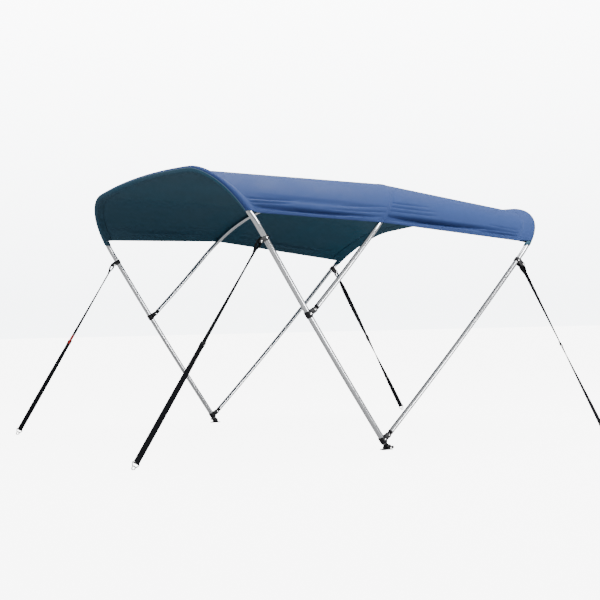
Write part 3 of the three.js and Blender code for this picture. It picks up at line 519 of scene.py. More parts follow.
def make_stitch_tree():
    """One short thread at every pitch along a line."""
    tree, inside, outside = node_tree("stitches", Pitch=0.006, Length=0.0042, Thickness=0.0009)
    line = tree.nodes.new("GeometryNodeMeshToCurve")
    points = tree.nodes.new("GeometryNodeCurveToPoints")
    points.mode = "LENGTH"
    thread = tree.nodes.new("GeometryNodeMeshUVSphere")
    thread.inputs["Segments"].default_value, thread.inputs["Rings"].default_value = 6, 4
    size = tree.nodes.new("ShaderNodeCombineXYZ")
    place = tree.nodes.new("GeometryNodeInstanceOnPoints")
    tree.links.new(inside.outputs["Geometry"], line.inputs["Mesh"])
    tree.links.new(line.outputs["Curve"], points.inputs["Curve"])
    tree.links.new(inside.outputs["Pitch"], points.inputs["Length"])
    for axis, source in (("X", "Thickness"), ("Y", "Thickness"), ("Z", "Length")):
        half = math_node(tree, "MULTIPLY", inside.outputs[source], 0.5)
        tree.links.new(half, size.inputs[axis])
    tree.links.new(points.outputs["Points"], place.inputs["Points"])
    tree.links.new(points.outputs["Rotation"], place.inputs["Rotation"])
    tree.links.new(thread.outputs["Mesh"], place.inputs["Instance"])
    tree.links.new(size.outputs["Vector"], place.inputs["Scale"])
    return finish_tree(tree, inside, outside, place.outputs["Instances"])


STITCH_TREE = make_stitch_tree()
print("stitch tree:", len(STITCH_TREE.nodes), "nodes")

# %% Running a tree on a line


def along_line(tree, name, lines, finish, **sizes):
    """Runs a node tree on one or more open lines of points, and returns the plain mesh object."""
    mesh = bpy.data.meshes.new(name)
    points, edges = [], []
    for line in lines:
        edges += [(len(points) + i, len(points) + i + 1) for i in range(len(line) - 1)]
        points += [tuple(p) for p in line]
    mesh.from_pydata(points, edges, [])
    piece = new_object(name, mesh)
    nodes = piece.modifiers.new(name, "NODES")
    nodes.node_group = tree
    for item in tree.interface.items_tree:
        if item.in_out == "INPUT" and item.name.replace(" ", "_") in sizes:
            nodes[item.identifier] = sizes[item.name.replace(" ", "_")]
        if item.in_out == "INPUT" and item.name == "Finish":
            nodes[item.identifier] = finish.material
    return baked(piece)


# %% [markdown]
# ## The bows
#
# Anodised aluminium tube, 25.4 mm on the main bow and 22.2 mm on the other two. The solids are
# facetted. Smooth shading would hide that on the flanks but not at the outline, so each tube is
# replaced by a round sweep on the same line.

# %% Bow tubes
TUBE_SIDES = 32


def bow_line(bow, leg_steps=16, corner_steps=20, shoulder_steps=12, crown_steps=10):
    """Points from the near foot over the crown to the far foot."""
    spans = ((bow.start, bow.leg, leg_steps), (bow.leg, bow.leg + CORNER_LENGTH, corner_steps),
             (bow.leg + CORNER_LENGTH, bow.leg + SHOULDER_END, shoulder_steps),
             (bow.leg + SHOULDER_END, bow.leg + HALF_ARCH, crown_steps))
    marks = [a + (b - a) * i / n for a, b, n in spans for i in range(n)]
    near = [bow.at(NEAR, m)[0] for m in marks]
    far = [bow.at(FAR, m)[0] for m in marks]
    return near + [bow.at(NEAR, bow.leg + HALF_ARCH)[0]] + far[::-1]


for name, bow in BOWS.items():
    tube = along_line(TUBE_TREE, f"{name}_tube", [bow_line(bow)], ANODISED, Radius=bow.radius,
                      Sides=TUBE_SIDES)
    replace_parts(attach(tube, "frame"), f"{name}_bow")
    print(tube.name, len(tube.data.polygons), "faces")

# %% [markdown]
# ## The canopy
#
# One sewn sheet: a front panel and a rear panel, lapped just behind the mid bow, with both ends
# wrapped round the end bows and stitched back on themselves. It could be a cloth simulation, but
# a stretched canopy is nearly ruled by its bows, so it is built from rows that follow the bows'
# lines. A row runs along the boat, from one pocket to the other, at one height above the hem.

# %% Canopy sizes
# Gap between tube and cloth, half the wall of the solid's cloth, and the thickness of this cloth
CLOTH_GAP, CLOTH_WALL, CLOTH_THICK = 0.0013, 0.0008, 0.0010
# Reach and rise of a pocket's seam from the middle of its tube
POCKET = {"main": (0.034, 0.0), "rear": (0.056, -0.003)}
LAP_BACK, LAP_DROP, HEM_FOLD, MID_SEAM = 0.0015, 0.0014, 0.022, 0.016
# How far round the arch, from the top of the leg, the hem lies on each bow
EDGE = {
    NEAR: {"main": 0.080, "mid": 0.058, "rear": 0.088},
    FAR: {"main": 0.092, "mid": 0.112, "rear": 0.104},
}
# Above this height over the hem, the rows share out what is left up to the middle of the crown
CROWN_FROM = 0.500
print("pockets reach", [reach for reach, _ in POCKET.values()], "m; the lap", MID_SEAM, "m")

# %% [markdown]
# The pull of the frame draws shallow troughs into the sides of the cloth, with finer creases near
# the seams. A simulation would put them where it likes. Here each is placed as seen: a line across
# a panel, with a width and a depth. The folds are in the solids too, the creases are only here.

# %% Folds and creases
# Panel, side, start (fraction of the panel, height above the hem), end, half width, depth.
# Fractions of the front panel count from the front bow, those of the rear panel from the mid bow.
FOLDS = [
    ("front", NEAR, 0.02, 0.042, 0.94, 0.027, 0.014, 0.011),
    ("front", NEAR, 0.05, 0.018, 0.95, 0.012, 0.010, -0.005),
    ("front", NEAR, 0.06, 0.096, 0.90, 0.084, 0.030, 0.005),
    ("front", FAR, 0.08, 0.058, 0.80, 0.050, 0.018, 0.009),
    ("rear", NEAR, 0.02, 0.042, 0.90, 0.060, 0.015, 0.011),
    ("rear", NEAR, 0.60, 0.030, 0.98, 0.032, 0.011, 0.005),
    ("rear", FAR, 0.10, 0.050, 0.85, 0.044, 0.015, 0.008),
]

CREASES = [
    ("rear", NEAR, -0.03, 0.028, 0.70, 0.046, 0.021, 0.0150),
    ("front", NEAR, -0.01, 0.030, 0.74, 0.022, 0.018, 0.0130),
    ("front", NEAR, -0.05, 0.058, 0.30, 0.066, 0.009, 0.0070),
    ("front", NEAR, -0.05, 0.078, 0.34, 0.092, 0.011, 0.0056),
    ("front", NEAR, -0.04, 0.040, 0.16, 0.036, 0.006, 0.0062),
    ("front", NEAR, 0.10, 0.030, 1.02, 0.031, 0.007, 0.0062),
    ("front", NEAR, 0.58, 0.052, 1.03, 0.062, 0.009, 0.0050),
    ("front", NEAR, 0.66, 0.082, 1.03, 0.096, 0.010, 0.0034),
    ("rear", NEAR, -0.04, 0.040, 0.60, 0.050, 0.011, 0.0130),
    ("rear", NEAR, -0.04, 0.072, 0.34, 0.084, 0.008, 0.0056),
    ("rear", NEAR, -0.04, 0.098, 0.32, 0.112, 0.009, 0.0050),
    ("rear", NEAR, -0.04, 0.124, 0.26, 0.140, 0.009, 0.0040),
    ("rear", NEAR, 0.55, 0.052, 1.02, 0.054, 0.008, 0.0078),
    ("rear", NEAR, 0.74, 0.030, 1.02, 0.034, 0.007, 0.0070),
    ("rear", NEAR, 0.72, 0.082, 1.03, 0.074, 0.009, 0.0037),
    ("front", FAR, -0.04, 0.080, 0.26, 0.088, 0.009, 0.0034),
    ("front", FAR, 0.10, 0.028, 0.90, 0.030, 0.009, 0.0030),
    ("front", FAR, 0.55, 0.086, 1.03, 0.100, 0.012, 0.0026),
    ("rear", FAR, -0.04, 0.076, 0.28, 0.086, 0.009, 0.0032),
    ("rear", FAR, 0.66, 0.070, 1.03, 0.060, 0.009, 0.0032),
]


def fold_depth(table, panel, side, f, height):
    """How far the cloth is sunk at a fraction f of the panel and a height above the hem."""
    depth = 0.0
    for fold_panel, fold_side, f0, g0, f1, g1, half, deep in table:
        t = (f - f0) / (f1 - f0)
        if fold_panel != panel or fold_side != side or not 0 < t < 1:
            continue
        off = (height - (g0 + (g1 - g0) * t)) / half
        if abs(off) < 1:
            depth += deep * math.sqrt(math.sin(math.pi * t)) * math.cos(off * math.pi / 2) ** 2
    return depth


print("folds:", len(FOLDS), "creases:", len(CREASES))

# %% [markdown]
# Points lie close together where the cloth bends sharply, at the seams and the stitches, and far
# apart on the plain panels. The marks say where, in metres from a seam or from the mid bow.

# %% Marks along a row
SPAN_MARKS = [0.002, 0.005, 0.010, 0.018, 0.028, 0.040]
END_MARKS = [0.034, 0.022, 0.013, 0.007, 0.003, 0.0010]
LAYER_MARKS = [0.028, 0.023, 0.018, 0.014, 0.0115, 0.010, 0.0085, 0.006, 0.0045, 0.003, 0.0015]
LAP_MARKS = [0.0015, 0.0028, 0.004, 0.0052, 0.0065, 0.0078, 0.009]
LAP_MARKS += [0.0105, 0.012, 0.0132, 0.0144, 0.0154, 0.016]
STITCHES_AT, LAP_STITCHES_AT = (0.010, 0.003), (0.0052, 0.0132)
MIDDLE_STEPS, WRAP_STEPS, UNDER_STEPS = 30, 24, 6
print("marks:", len(SPAN_MARKS) + len(END_MARKS), "on a panel,", len(LAP_MARKS), "on the lap")

# %% [markdown]
# ### Pockets
#
# The cloth's end goes under, round the tube and back over itself, to a seam with two rows of
# stitches that press small dents into it. A bent plane would show a step at the tube, so the round
# part starts and ends where a straight line from the seam just touches the circle.

# %% A pocket round an end bow
STITCH_DENT, STITCH_DENT_HALF, SEAM_TUCK = 0.0009, 0.0013, 0.0008


def span_frame(frame_here, frame_there):
    """Direction from a tube to the next bow, and the cloth's normal where it leaves the tube."""
    centre, _, out, aft = frame_here
    toward = frame_there[0] - centre
    n, a = toward @ out, toward @ aft
    size, sign = math.hypot(n, a), math.copysign(1, a)
    return toward / size, sign * a / size * out - sign * n / size * aft


def stitch_dent(mark, rows, depth, half):
    """Depth of the dents that rows of stitches press into the cloth, at one mark."""
    return sum(depth * math.exp(-(((mark - row) / half) ** 2)) for row in rows)


def pocket_row(centre, along, normal, radius, seam_at):
    """Under layer, round the tube, and the upper layer down to the seam where both are sewn."""
    def place(back, rise):
        return centre + back * along + rise * normal

    back, rise = seam_at
    tilt, half = math.atan2(rise, back), math.acos(radius / math.hypot(back, rise))
    turns = np.linspace(2 * math.pi + tilt - half, tilt + half, WRAP_STEPS + 1)
    ring = [place(radius * math.cos(a), radius * math.sin(a)) for a in turns]
    lap, seam = place(back - LAP_BACK, rise - LAP_DROP), place(back, rise)
    under = [lap + (ring[0] - lap) * i / UNDER_STEPS for i in range(UNDER_STEPS)]
    length = np.linalg.norm(seam - ring[-1])
    upper = []
    for mark in LAYER_MARKS:
        dent = stitch_dent(mark, STITCHES_AT, STITCH_DENT, STITCH_DENT_HALF)
        upper.append(seam + (ring[-1] - seam) * mark / length - dent * normal)
    return [*under, *ring, *upper, seam - SEAM_TUCK * normal]


# %% [markdown]
# ### Panels and the lapped strip
#
# Between a seam and the mid bow a row is a straight line, sunk by the folds that cross it. Behind
# the mid bow the two panels overlap in a strip of 16 mm, which rises a little and is drawn down
# again along its two rows of stitches.

# %% Panels and lap
FOLDS_BEGIN_WITHIN = 0.010
LAP_LIFT, LAP_LIFT_WITHIN, LAP_DENT, LAP_DENT_HALF = 0.0013, 0.003, 0.0013, 0.0011


def span_row(start, start_normal, end, end_normal, panel, side, height):
    """Points from a pocket's seam to just short of the panel's other end, with its folds."""
    span = np.linalg.norm(end - start)
    middle = np.linspace(SPAN_MARKS[-1], span - END_MARKS[0], MIDDLE_STEPS + 2)[1:-1]
    points = []
    for d in [*SPAN_MARKS, *middle, *(span - m for m in END_MARKS)]:
        f = d / span
        normal = (1 - f) * start_normal + f * end_normal
        normal /= np.linalg.norm(normal)
        along_panel = f if panel == "front" else 1 - f
        sunk = sum(fold_depth(table, panel, side, along_panel, height) for table in (FOLDS, CREASES))
        points.append(start + f * (end - start) - math.tanh(d / FOLDS_BEGIN_WITHIN) * sunk * normal)
    return points


def lap_row(ridge, seam, normal):
    """The doubled strip aft of the mid bow, from its ridge to the seam, with two sewn grooves."""
    points = []
    for mark in LAP_MARKS:
        lift = LAP_LIFT * math.tanh(mark / LAP_LIFT_WITHIN)
        lift -= stitch_dent(mark, LAP_STITCHES_AT, LAP_DENT, LAP_DENT_HALF)
        points.append(ridge + (seam - ridge) * mark / MID_SEAM + lift * normal)
    return points


# %% [markdown]
# ### Rows over the whole width
#
# A row asks each bow for its place at the same height above the hem, and joins pocket, panel, lap,
# panel and pocket. Rows are close where the folds are and wider over the crown.

# %% Canopy grid
LOW_ROWS_TO, LOW_STEP, SIDE_STEP, CROWN_ROWS = 0.160, 0.004, 0.010, 22


def row_height(v, edge):
    """Height above the lower edge on a bow; rows beyond CROWN_FROM share out what is left."""
    if v <= CROWN_FROM:
        return v
    return CROWN_FROM + (v - CROWN_FROM) / CROWN_FROM * (HALF_ARCH - edge - CROWN_FROM)


def canopy_row(side, v):
    """One row of points from the front pocket to the rear one, at the mark v on every bow."""
    tubes = {}
    for key, bow in BOWS.items():
        edge = EDGE[side][key]
        tubes[key] = bow.at(side, bow.leg + edge + row_height(v, edge))
    fore_along, fore_normal = span_frame(tubes["main"], tubes["mid"])
    aft_along, aft_normal = span_frame(tubes["rear"], tubes["mid"])
    normal = span_frame(tubes["mid"], tubes["main"])[1] + span_frame(tubes["mid"], tubes["rear"])[1]
    normal /= np.linalg.norm(normal)
    stand = CLOTH_GAP + CLOTH_WALL
    front = pocket_row(tubes["main"][0], fore_along, fore_normal, MAIN.radius + stand, POCKET["main"])
    rear = pocket_row(tubes["rear"][0], aft_along, aft_normal, REAR.radius + stand, POCKET["rear"])
    ridge = tubes["mid"][0] + (MID.radius + stand) * normal
    behind = rear[-1] - ridge
    behind -= (behind @ normal) * normal
    seam = ridge + MID_SEAM * behind / np.linalg.norm(behind)
    fore = span_row(front[-1], fore_normal, ridge, normal, "front", side, v)
    aft = span_row(rear[-1], aft_normal, seam, normal, "rear", side, v)
    return [*front, *fore, ridge, *lap_row(ridge, seam, normal), *aft[::-1], *rear[::-1]]


ROW_MARKS = [*np.arange(0, LOW_ROWS_TO, LOW_STEP), *np.arange(LOW_ROWS_TO, CROWN_FROM, SIDE_STEP)]
ROW_MARKS += [*np.linspace(CROWN_FROM, 1.0, CROWN_ROWS)]
near_rows = [canopy_row(NEAR, v) for v in ROW_MARKS]
far_rows = [canopy_row(FAR, v) for v in ROW_MARKS[:-1]]
canopy_grid = np.array(near_rows + far_rows[::-1])
row_heights = np.array(ROW_MARKS + ROW_MARKS[:-1][::-1])
print("canopy grid:", canopy_grid.shape)

# %% [markdown]
# ### From a grid to cloth
#
# The grid is the cloth's middle surface. A Solidify modifier could thicken it, but a hem needs more
# cloth on one face than on the other, so both faces are laid out along the grid's own normals and
# closed by a rim. The UV map is in metres along rows and columns, and the weave follows the cloth.

# %% A sheet from a grid


def grid_normals(grid):
    """Unit normals at the points of a grid, from the steps between its rows and its columns."""
    along_rows = np.gradient(grid, axis=0)
    steps = np.diff(grid, axis=1)
    steps /= np.linalg.norm(steps, axis=2, keepdims=True)
    along_columns = np.concatenate([steps[:, :1], steps[:, :-1] + steps[:, 1:], steps[:, -1:]], axis=1)
    normals = np.cross(along_columns, along_rows)
    return normals / np.linalg.norm(normals, axis=2, keepdims=True)


def sheet_object(name, grid, outer, inner, finishes):
    """A closed sheet from a grid: outer and inner are the offsets of its two faces."""
    normals = grid_normals(grid)
    rows, columns = grid.shape[:2]
    outside, inside = grid + outer * normals, grid - inner * normals
    points = np.concatenate([outside.reshape(-1, 3), inside.reshape(-1, 3)])
    count = rows * columns
    index = np.arange(count).reshape(rows, columns)
    a, b, c, d = index[:-1, :-1], index[:-1, 1:], index[1:, 1:], index[1:, :-1]
    top = np.stack([a, b, c, d], axis=-1).reshape(-1, 4)
    under = np.stack([a, d, c, b], axis=-1).reshape(-1, 4) + count
    rim = []
    loop = [*index[0, :], *index[1:, -1], *index[-1, -2::-1], *index[-2:0:-1, 0]]
    for i, p in enumerate(loop):
        q = loop[(i + 1) % len(loop)]
        rim.append((q, p, p + count, q + count))
    faces = [tuple(int(i) for i in face) for face in (*top, *under, *rim)]
    piece = mesh_object(name, points, faces)
    for finish in finishes:
        piece.data.materials.append(finish.material)
    shades = np.zeros(len(faces), dtype=np.int32)
    shades[len(top):len(top) + len(under)] = len(finishes) - 1
    piece.data.polygons.foreach_set("material_index", shades)
    lay_out_cloth(piece, grid)
    return piece


def lay_out_cloth(piece, grid):
    """UV map in metres: distance along the columns and along the rows of the grid."""
    u = np.zeros(grid.shape[:2])
    v = np.zeros(grid.shape[:2])
    u[:, 1:] = np.cumsum(np.linalg.norm(np.diff(grid, axis=1), axis=2), axis=1)
    v[1:, :] = np.cumsum(np.linalg.norm(np.diff(grid, axis=0), axis=2), axis=0)
    both = np.stack([u.ravel(), v.ravel()], axis=1)
    both = np.concatenate([both, both])
    corners = np.empty(len(piece.data.loops), dtype=np.int32)
    piece.data.loops.foreach_get("vertex_index", corners)
    layer = piece.data.uv_layers.new(name="cloth")
    layer.data.foreach_set("uv", both[corners].ravel())


# %% [markdown]
# The lowest 22 mm are thicker inside, where the edge is folded over. The coated face is the inside
# of the canopy; its dark finish is partly painted shade. The same dark finish is painted over the
# outer face where the pockets are turned under, as painted shade, and one pale column between the two
# at the front is a painted highlight along the fold.

# %% Canopy sheet
HEM_EXTRA, HEM_BLEND = 0.0012, 0.0012
# Wrap columns of each pocket, past the under layer, that take the dark inner finish as painted shade
SHADED_WRAP_STEPS = {"front": 13, "rear": 18}
OUTER, HIGHLIT_FOLD, SHADED_INNER = range(3)
hem_extra = HEM_EXTRA / (1 + np.exp((row_heights - HEM_FOLD) / HEM_BLEND))
inner_offset = (CLOTH_THICK / 2 + hem_extra)[:, None, None]
finishes = [OUTER_CLOTH, PAINTED_FOLD_HIGHLIGHT, INNER_CLOTH_AND_SHADE]
canopy = sheet_object("canopy_sheet", canopy_grid, CLOTH_THICK / 2, inner_offset, finishes)
front_shade_end, rear_shade_end = (UNDER_STEPS + SHADED_WRAP_STEPS[end] for end in ("front", "rear"))
# Painted shade: the dark inner finish on the turned-under pockets; painted highlight: one pale column at the
# front fold
shades = np.full((canopy_grid.shape[0] - 1, canopy_grid.shape[1] - 1), OUTER, dtype=np.int32)
shades[:, front_shade_end] = HIGHLIT_FOLD
shades[:, :front_shade_end] = shades[:, -rear_shade_end:] = SHADED_INNER
for face, shade in zip(canopy.data.polygons, shades.ravel()):
    face.material_index = int(shade)
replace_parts(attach(canopy, "frame"), "canopy")

# %% [markdown]
# ## Stitches of the canopy
#
# Two rows hold each bow pocket and two more close the seam behind the mid bow; one row runs along
# each lower hem. Painted stitches would vanish in the exported mesh, so each is a short thread that
# stands a little proud of the cloth. The rows follow columns and rows of the canopy's own grid.

# %% Canopy stitches
STITCH_STAND, HEM_STITCH_IN = 0.0001, 0.003
canopy_face = canopy_grid + (CLOTH_THICK / 2 + STITCH_STAND) * grid_normals(canopy_grid)
SEAM_COLUMN = UNDER_STEPS + WRAP_STEPS + 1 + len(LAYER_MARKS)
RIDGE_COLUMN = SEAM_COLUMN + len(SPAN_MARKS) + MIDDLE_STEPS + len(END_MARKS) + 1
LAST_COLUMN = canopy_grid.shape[1] - 1


def seam_columns():
    """Columns of the canopy's grid where the stitches of its seams run."""
    end = [SEAM_COLUMN - len(LAYER_MARKS) + LAYER_MARKS.index(m) for m in STITCHES_AT]
    mid = [RIDGE_COLUMN + 1 + LAP_MARKS.index(m) for m in LAP_STITCHES_AT]
    return [*end, *mid, *(LAST_COLUMN - c for c in end)]


def hem_rows():
    """The two rows of the canopy's grid where the stitches of its hems run."""
    low = ROW_MARKS.index(min(ROW_MARKS, key=lambda v: abs(v - HEM_FOLD + HEM_STITCH_IN)))
    return [low, len(row_heights) - 1 - low]


seams = [canopy_face[:, c] for c in seam_columns()]
seams += [canopy_face[r, SEAM_COLUMN:LAST_COLUMN - SEAM_COLUMN + 1] for r in hem_rows()]
canopy_stitches = along_line(STITCH_TREE, "canopy_stitches", seams, THREAD)
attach(canopy_stitches, "frame")
print("canopy stitches:", len(canopy_stitches.data.polygons), "faces")

# %% [markdown]
# ## Pocket ends
#
# The turned strips of the bow pockets are a little longer than the canopy's corners, so short
# cloth tubes show on three of the legs. A plain cylinder would do from afar. These are sheets too,
# with rims that are slanted as the hem is and slightly out of round.

# %% Pocket ends
POCKET_ENDS = [
    ("pocket_end_front_far", MAIN, FAR, "main", 0.028),
    ("pocket_end_rear_near", REAR, NEAR, "rear", 0.024),
    ("pocket_end_rear_far", REAR, FAR, "rear", 0.026),
]
POCKET_END_DROP, POCKET_END_WAVE, POCKET_END_SWAY = 0.0025, 0.0006, 0.03
POCKET_END_RINGS, POCKET_END_SIDES = 9, 40


def bow_name(bow):
    return next(name for name, other in BOWS.items() if other is bow)


def pocket_end(node, bow, side, key, length):
    """A short tube of cloth whose rims are slanted as the canopy's hem is."""
    edge = EDGE[side][key]
    centre, tangent, out, aft = bow.at(side, bow.leg + edge)
    to_mid = MID.at(side, MID.leg + EDGE[side]["mid"])[0] - centre
    aft_part, out_part = to_mid @ aft, to_mid @ out
    slant = (to_mid @ tangent) / (aft_part ** 2 + out_part ** 2)
    middle = bow.leg + edge - length / 2 - POCKET_END_DROP
    rings = []
    for t in np.linspace(-0.5, 0.5, POCKET_END_RINGS):
        centre, tangent, out, aft = bow.at(side, middle + t * length)
        radius = bow.radius + CLOTH_GAP + CLOTH_WALL + POCKET_END_WAVE * math.cos(9 * t)
        ring = []
        # Three slight bulges round the tube, turned by the hem's place, so that no two ends are alike
        for a in np.linspace(0, 2 * math.pi, POCKET_END_SIDES + 1):
            reach = radius * (1 + POCKET_END_SWAY * (0.5 - t) * math.sin(3 * a + 40 * edge))
            to_out, to_aft = reach * math.cos(a), reach * side * math.sin(a)
            rise = slant * (aft_part * to_aft + out_part * to_out)
            ring.append(centre + to_out * out + to_aft * aft + rise * tangent)
        rings.append(ring)
    # The pocket ends take the dark inner finish, which is partly painted shade
    piece = sheet_object(node + "_cloth", np.array(rings), CLOTH_THICK / 2, CLOTH_THICK / 2, [INNER_CLOTH_AND_SHADE])
    outward(piece)
    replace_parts(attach(piece, "frame"), node)
    return piece


for row in POCKET_ENDS:
    print(pocket_end(*row).name)

# %% [markdown]
# ## How the fittings are shaped
#
# A fitting is a lathe turning, a plate and a few cuts. It could be pushed into shape from a cube,
# but a turning's profile and a plate's outline say the real sizes. The cuts are Boolean modifiers
# that are applied at once, and a small bevel afterwards gives the moulded or filed edge that
# catches the light.

# %% Turnings and plates


def turned(name, profile, sides=40):
    """Lathe turning about Z of a profile of (radius, height), closed on the axis or on itself."""
    points, faces = [], []
    rings = len(profile)
    for i in range(sides):
        angle = 2 * math.pi * i / sides
        points += [(r * math.cos(angle), r * math.sin(angle), z) for r, z in profile]
    for i in range(sides):
        a, b = i * rings, ((i + 1) % sides) * rings
        faces += [(a + j, b + j, b + j + 1, a + j + 1) for j in range(rings - 1)]
    piece = mesh_object(name, points, faces)
    return outward(piece, merge=1e-7)


def plate(name, outline, thick, axis="Y", centre=0.0):
    """A flat plate from an outline of (x, z), its thickness along Y, or from (x, y) along Z."""
    count = len(outline)
    points = []
    for half in (-thick / 2, thick / 2):
        if axis == "Y":
            points += [(u, centre + half, v) for u, v in outline]
        else:
            points += [(u, v, centre + half) for u, v in outline]
    faces = [tuple(range(count)), tuple(range(2 * count - 1, count - 1, -1))]
    faces += [(i, i + count, (i + 1) % count + count, (i + 1) % count) for i in range(count)]
    piece = mesh_object(name, points, faces, smooth=False)
    return outward(piece)


def round_ear(start, root, at, radius, steps=20):
    """Outline of a lug: straight sides from its root, and a round end."""
    lean = math.asin(min((root - radius) / abs(at - start), 1))
    outline = [(start, root), (start, -root)]
    for i in range(steps + 1):
        angle = -math.pi / 2 + lean + (math.pi - 2 * lean) * i / steps
        outline.append((at + radius * math.cos(angle), radius * math.sin(angle)))
    return outline


def cross_rod(name, radius, length, x=0.0, z=0.0, sides=32):
    """A round rod along Y, for bosses and for the holes of bolts."""
    half = length / 2
    rod = turned(name, [(0, -half), (radius, -half), (radius, half), (0, half)], sides)
    rod.data.transform(Matrix.Translation((x, 0, z)) @ Matrix.Rotation(math.pi / 2, 4, "X"))
    return rod


# %% Joining, cutting and filing
BEVEL_FROM, SHARP_FROM = math.radians(35), math.radians(40)


def carved(base, *steps, bevel=0.0006, name=None):
    """Base with other meshes joined or cut, one after the other, and a fine bevel at the end."""
    for operation, tool in steps:
        cut = base.modifiers.new("cut", "BOOLEAN")
        cut.operation, cut.object, cut.solver = operation, tool, "EXACT"
        base = baked(base)
        drop(tool)
    if bevel:
        edge = base.modifiers.new("edge", "BEVEL")
        edge.width, edge.segments, edge.limit_method, edge.angle_limit = bevel, 2, "ANGLE", BEVEL_FROM
        base = baked(base, name)
    for polygon in base.data.polygons:
        polygon.use_smooth = True
    base.data.set_sharp_from_angle(angle=SHARP_FROM)
    return base


# %% [markdown]
# A fitting is shaped once, at the origin, and each of its copies is moved by a matrix that is
# worked out from the bow or the strap. The move goes into the mesh and not into the object, so that
# the finish, which reads Object coordinates, sits on it as it does on everything else.

# %% Putting a fitting in its place


def local_frame(x, y, z, origin):
    """The matrix of three axes and an origin."""
    columns = [Vector(v).to_4d() for v in (x, y, z)]
    for column in columns:
        column.w = 0
    return Matrix((*columns, Vector(origin).to_4d())).transposed()


def placed_copy(master, name, matrix, finish, body, *nodes):
    """A fitting's own mesh, put in its place, riding on its body and standing for its nodes."""
    mesh = master.data.copy()
    mesh.transform(matrix)
    if matrix.determinant() < 0:
        mesh.flip_normals()
    mesh.materials.clear()
    mesh.materials.append(finish.material)
    piece = new_object(name, mesh)
    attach(piece, body)
    if nodes:
        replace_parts(piece, *nodes)
    return piece


def leg_frame(bow, side, distance, facing=1):
    """Z up the leg, X aft of it, or forward where facing is -1, from the middle of the tube."""
    centre, tangent, _, aft = bow.at(side, distance)
    x = facing * aft
    return local_frame(x, np.cross(tangent, x), tangent, centre)


# %% [markdown]
# ## Jaw slides, eye ends and bolts
#
# Black nylon mouldings: a jaw is a band on the main tube with two ears, and an eye end is a plug
# in the tube's end with a flat tongue between them. Each could be shaped in its place, but real
# ones come out of one mould, so a master of each is carved once and copied.

# %% Jaws and eyes
BAND_WALL, BAND_PLAY, BAND_EDGE, BAND_SIDES = 0.0022, 0.001, 0.0008, 48
JAW_BAND, EAR_FROM, EAR_THICK, EAR_ROUND, EAR_ROOT = 0.030, 0.002, 0.004, 0.011, 0.012
SEAT_GAP, BOLT_RADIUS, BOLT_HOLE, TONGUE_THICK = 0.0003, 0.003, 0.0034, 0.008
EYE_GAP = TONGUE_THICK + 2 * SEAT_GAP
EYE_EDGE, EYE_RIM, EYE_SINK = 0.0015, 0.0004, 0.001


def band(name, inner, length):
    """A band round a tube: a wall closed on itself, with its outer edges slanted."""
    outer, half = inner + BAND_WALL, length / 2
    profile = [(inner, -half), (outer - BAND_EDGE, -half), (outer, BAND_EDGE - half)]
    profile += [(outer, half - BAND_EDGE), (outer - BAND_EDGE, half), (inner, half), (inner, -half)]
    return turned(name, profile, BAND_SIDES)


def jaw_master(name, tube, length, reach, gap, ear, radius, root):
    """A band on a tube, with two ears that stand a gap apart and reach out to a bolt."""
    inner = tube / 2 + BAND_PLAY
    steps = []
    for y in (-1, 1):
        outline = round_ear(EAR_FROM, root, reach, radius)
        steps.append(("UNION", plate("lug", outline, ear, centre=y * (gap + ear) / 2)))
    bore = turned("bore", [(0, -length), (inner, -length), (inner, length), (0, length)], BAND_SIDES)
    steps.append(("DIFFERENCE", bore))
    steps.append(("DIFFERENCE", cross_rod("hole", BOLT_HOLE, 2 * (gap + ear), reach)))
    return carved(band(name, inner, length), *steps)


def eye_master(name, start, end, outer, eye):
    """Tongue with its eye at the origin, and the collar of a plug that sits inside the tube."""
    profile = [(0, start), (outer - EYE_EDGE, start), (outer, start + EYE_EDGE), (outer, end - EYE_RIM),
               (outer - EYE_RIM, end), (0, end)]
    tongue = plate("tongue", round_ear(-start - EYE_SINK, eye, 0, eye), TONGUE_THICK)
    tongue.data.transform(Matrix.Rotation(math.pi / 2, 4, "Y"))
    hole = cross_rod("hole", BOLT_HOLE, 2 * TONGUE_THICK)
    return carved(turned(name, profile), ("UNION", tongue), ("DIFFERENCE", hole))


jaw = jaw_master("jaw_master", MAIN_TUBE, JAW_BAND, JAW_REACH, EYE_GAP, EAR_THICK, EAR_ROUND, EAR_ROOT)
aux_eye = eye_master("aux_eye_master", start=0.013, end=0.021, outer=0.012, eye=0.0095)
main_eye = eye_master("main_eye_master", start=0.013, end=0.016, outer=0.0127, eye=0.009)
print("jaw and eyes:", [len(o.data.polygons) for o in (jaw, aux_eye, main_eye)], "faces")

# %% [markdown]
# A bolt has a domed head with a hexagon socket on its outboard side and a nut on the other. One
# bolt could be stretched to fit, but that would stretch its head too, so its length is an input.

# %% Bolts and set screws
BOLT_SIDES, BOLT_HEAD, HEAD_RIM, HEAD_DOME = 32, 0.0048, 0.0008, 0.0021
NUT_FLATS, NUT_HIGH, TIP_RADIUS, TIP_FROM, TIP_AT = 0.0094, 0.0036, 0.0026, 0.0046, 0.0052
SOCKET_FLATS, SOCKET_FLOOR, SOCKET_TOP = 0.0034, 0.0013, 0.005
SCREW_FLATS, SCREW_FLOOR, SCREW_TOP = 0.0030, 0.0014, 0.004
BRACKET_GAP, BRACKET_EAR = 0.0266, 0.0035
SCREW_PROFILE = [(0, 0), (0.0048, 0), (0.0048, 0.0014), (0.0040, 0.0026), (0, 0.0030)]


def hexagon(name, across_flats, low, high):
    """A six-sided prism along Z, by the distance across its flats."""
    radius = across_flats / math.sqrt(3)
    return turned(name, [(0, low), (radius, low), (radius, high), (0, high)], 6)


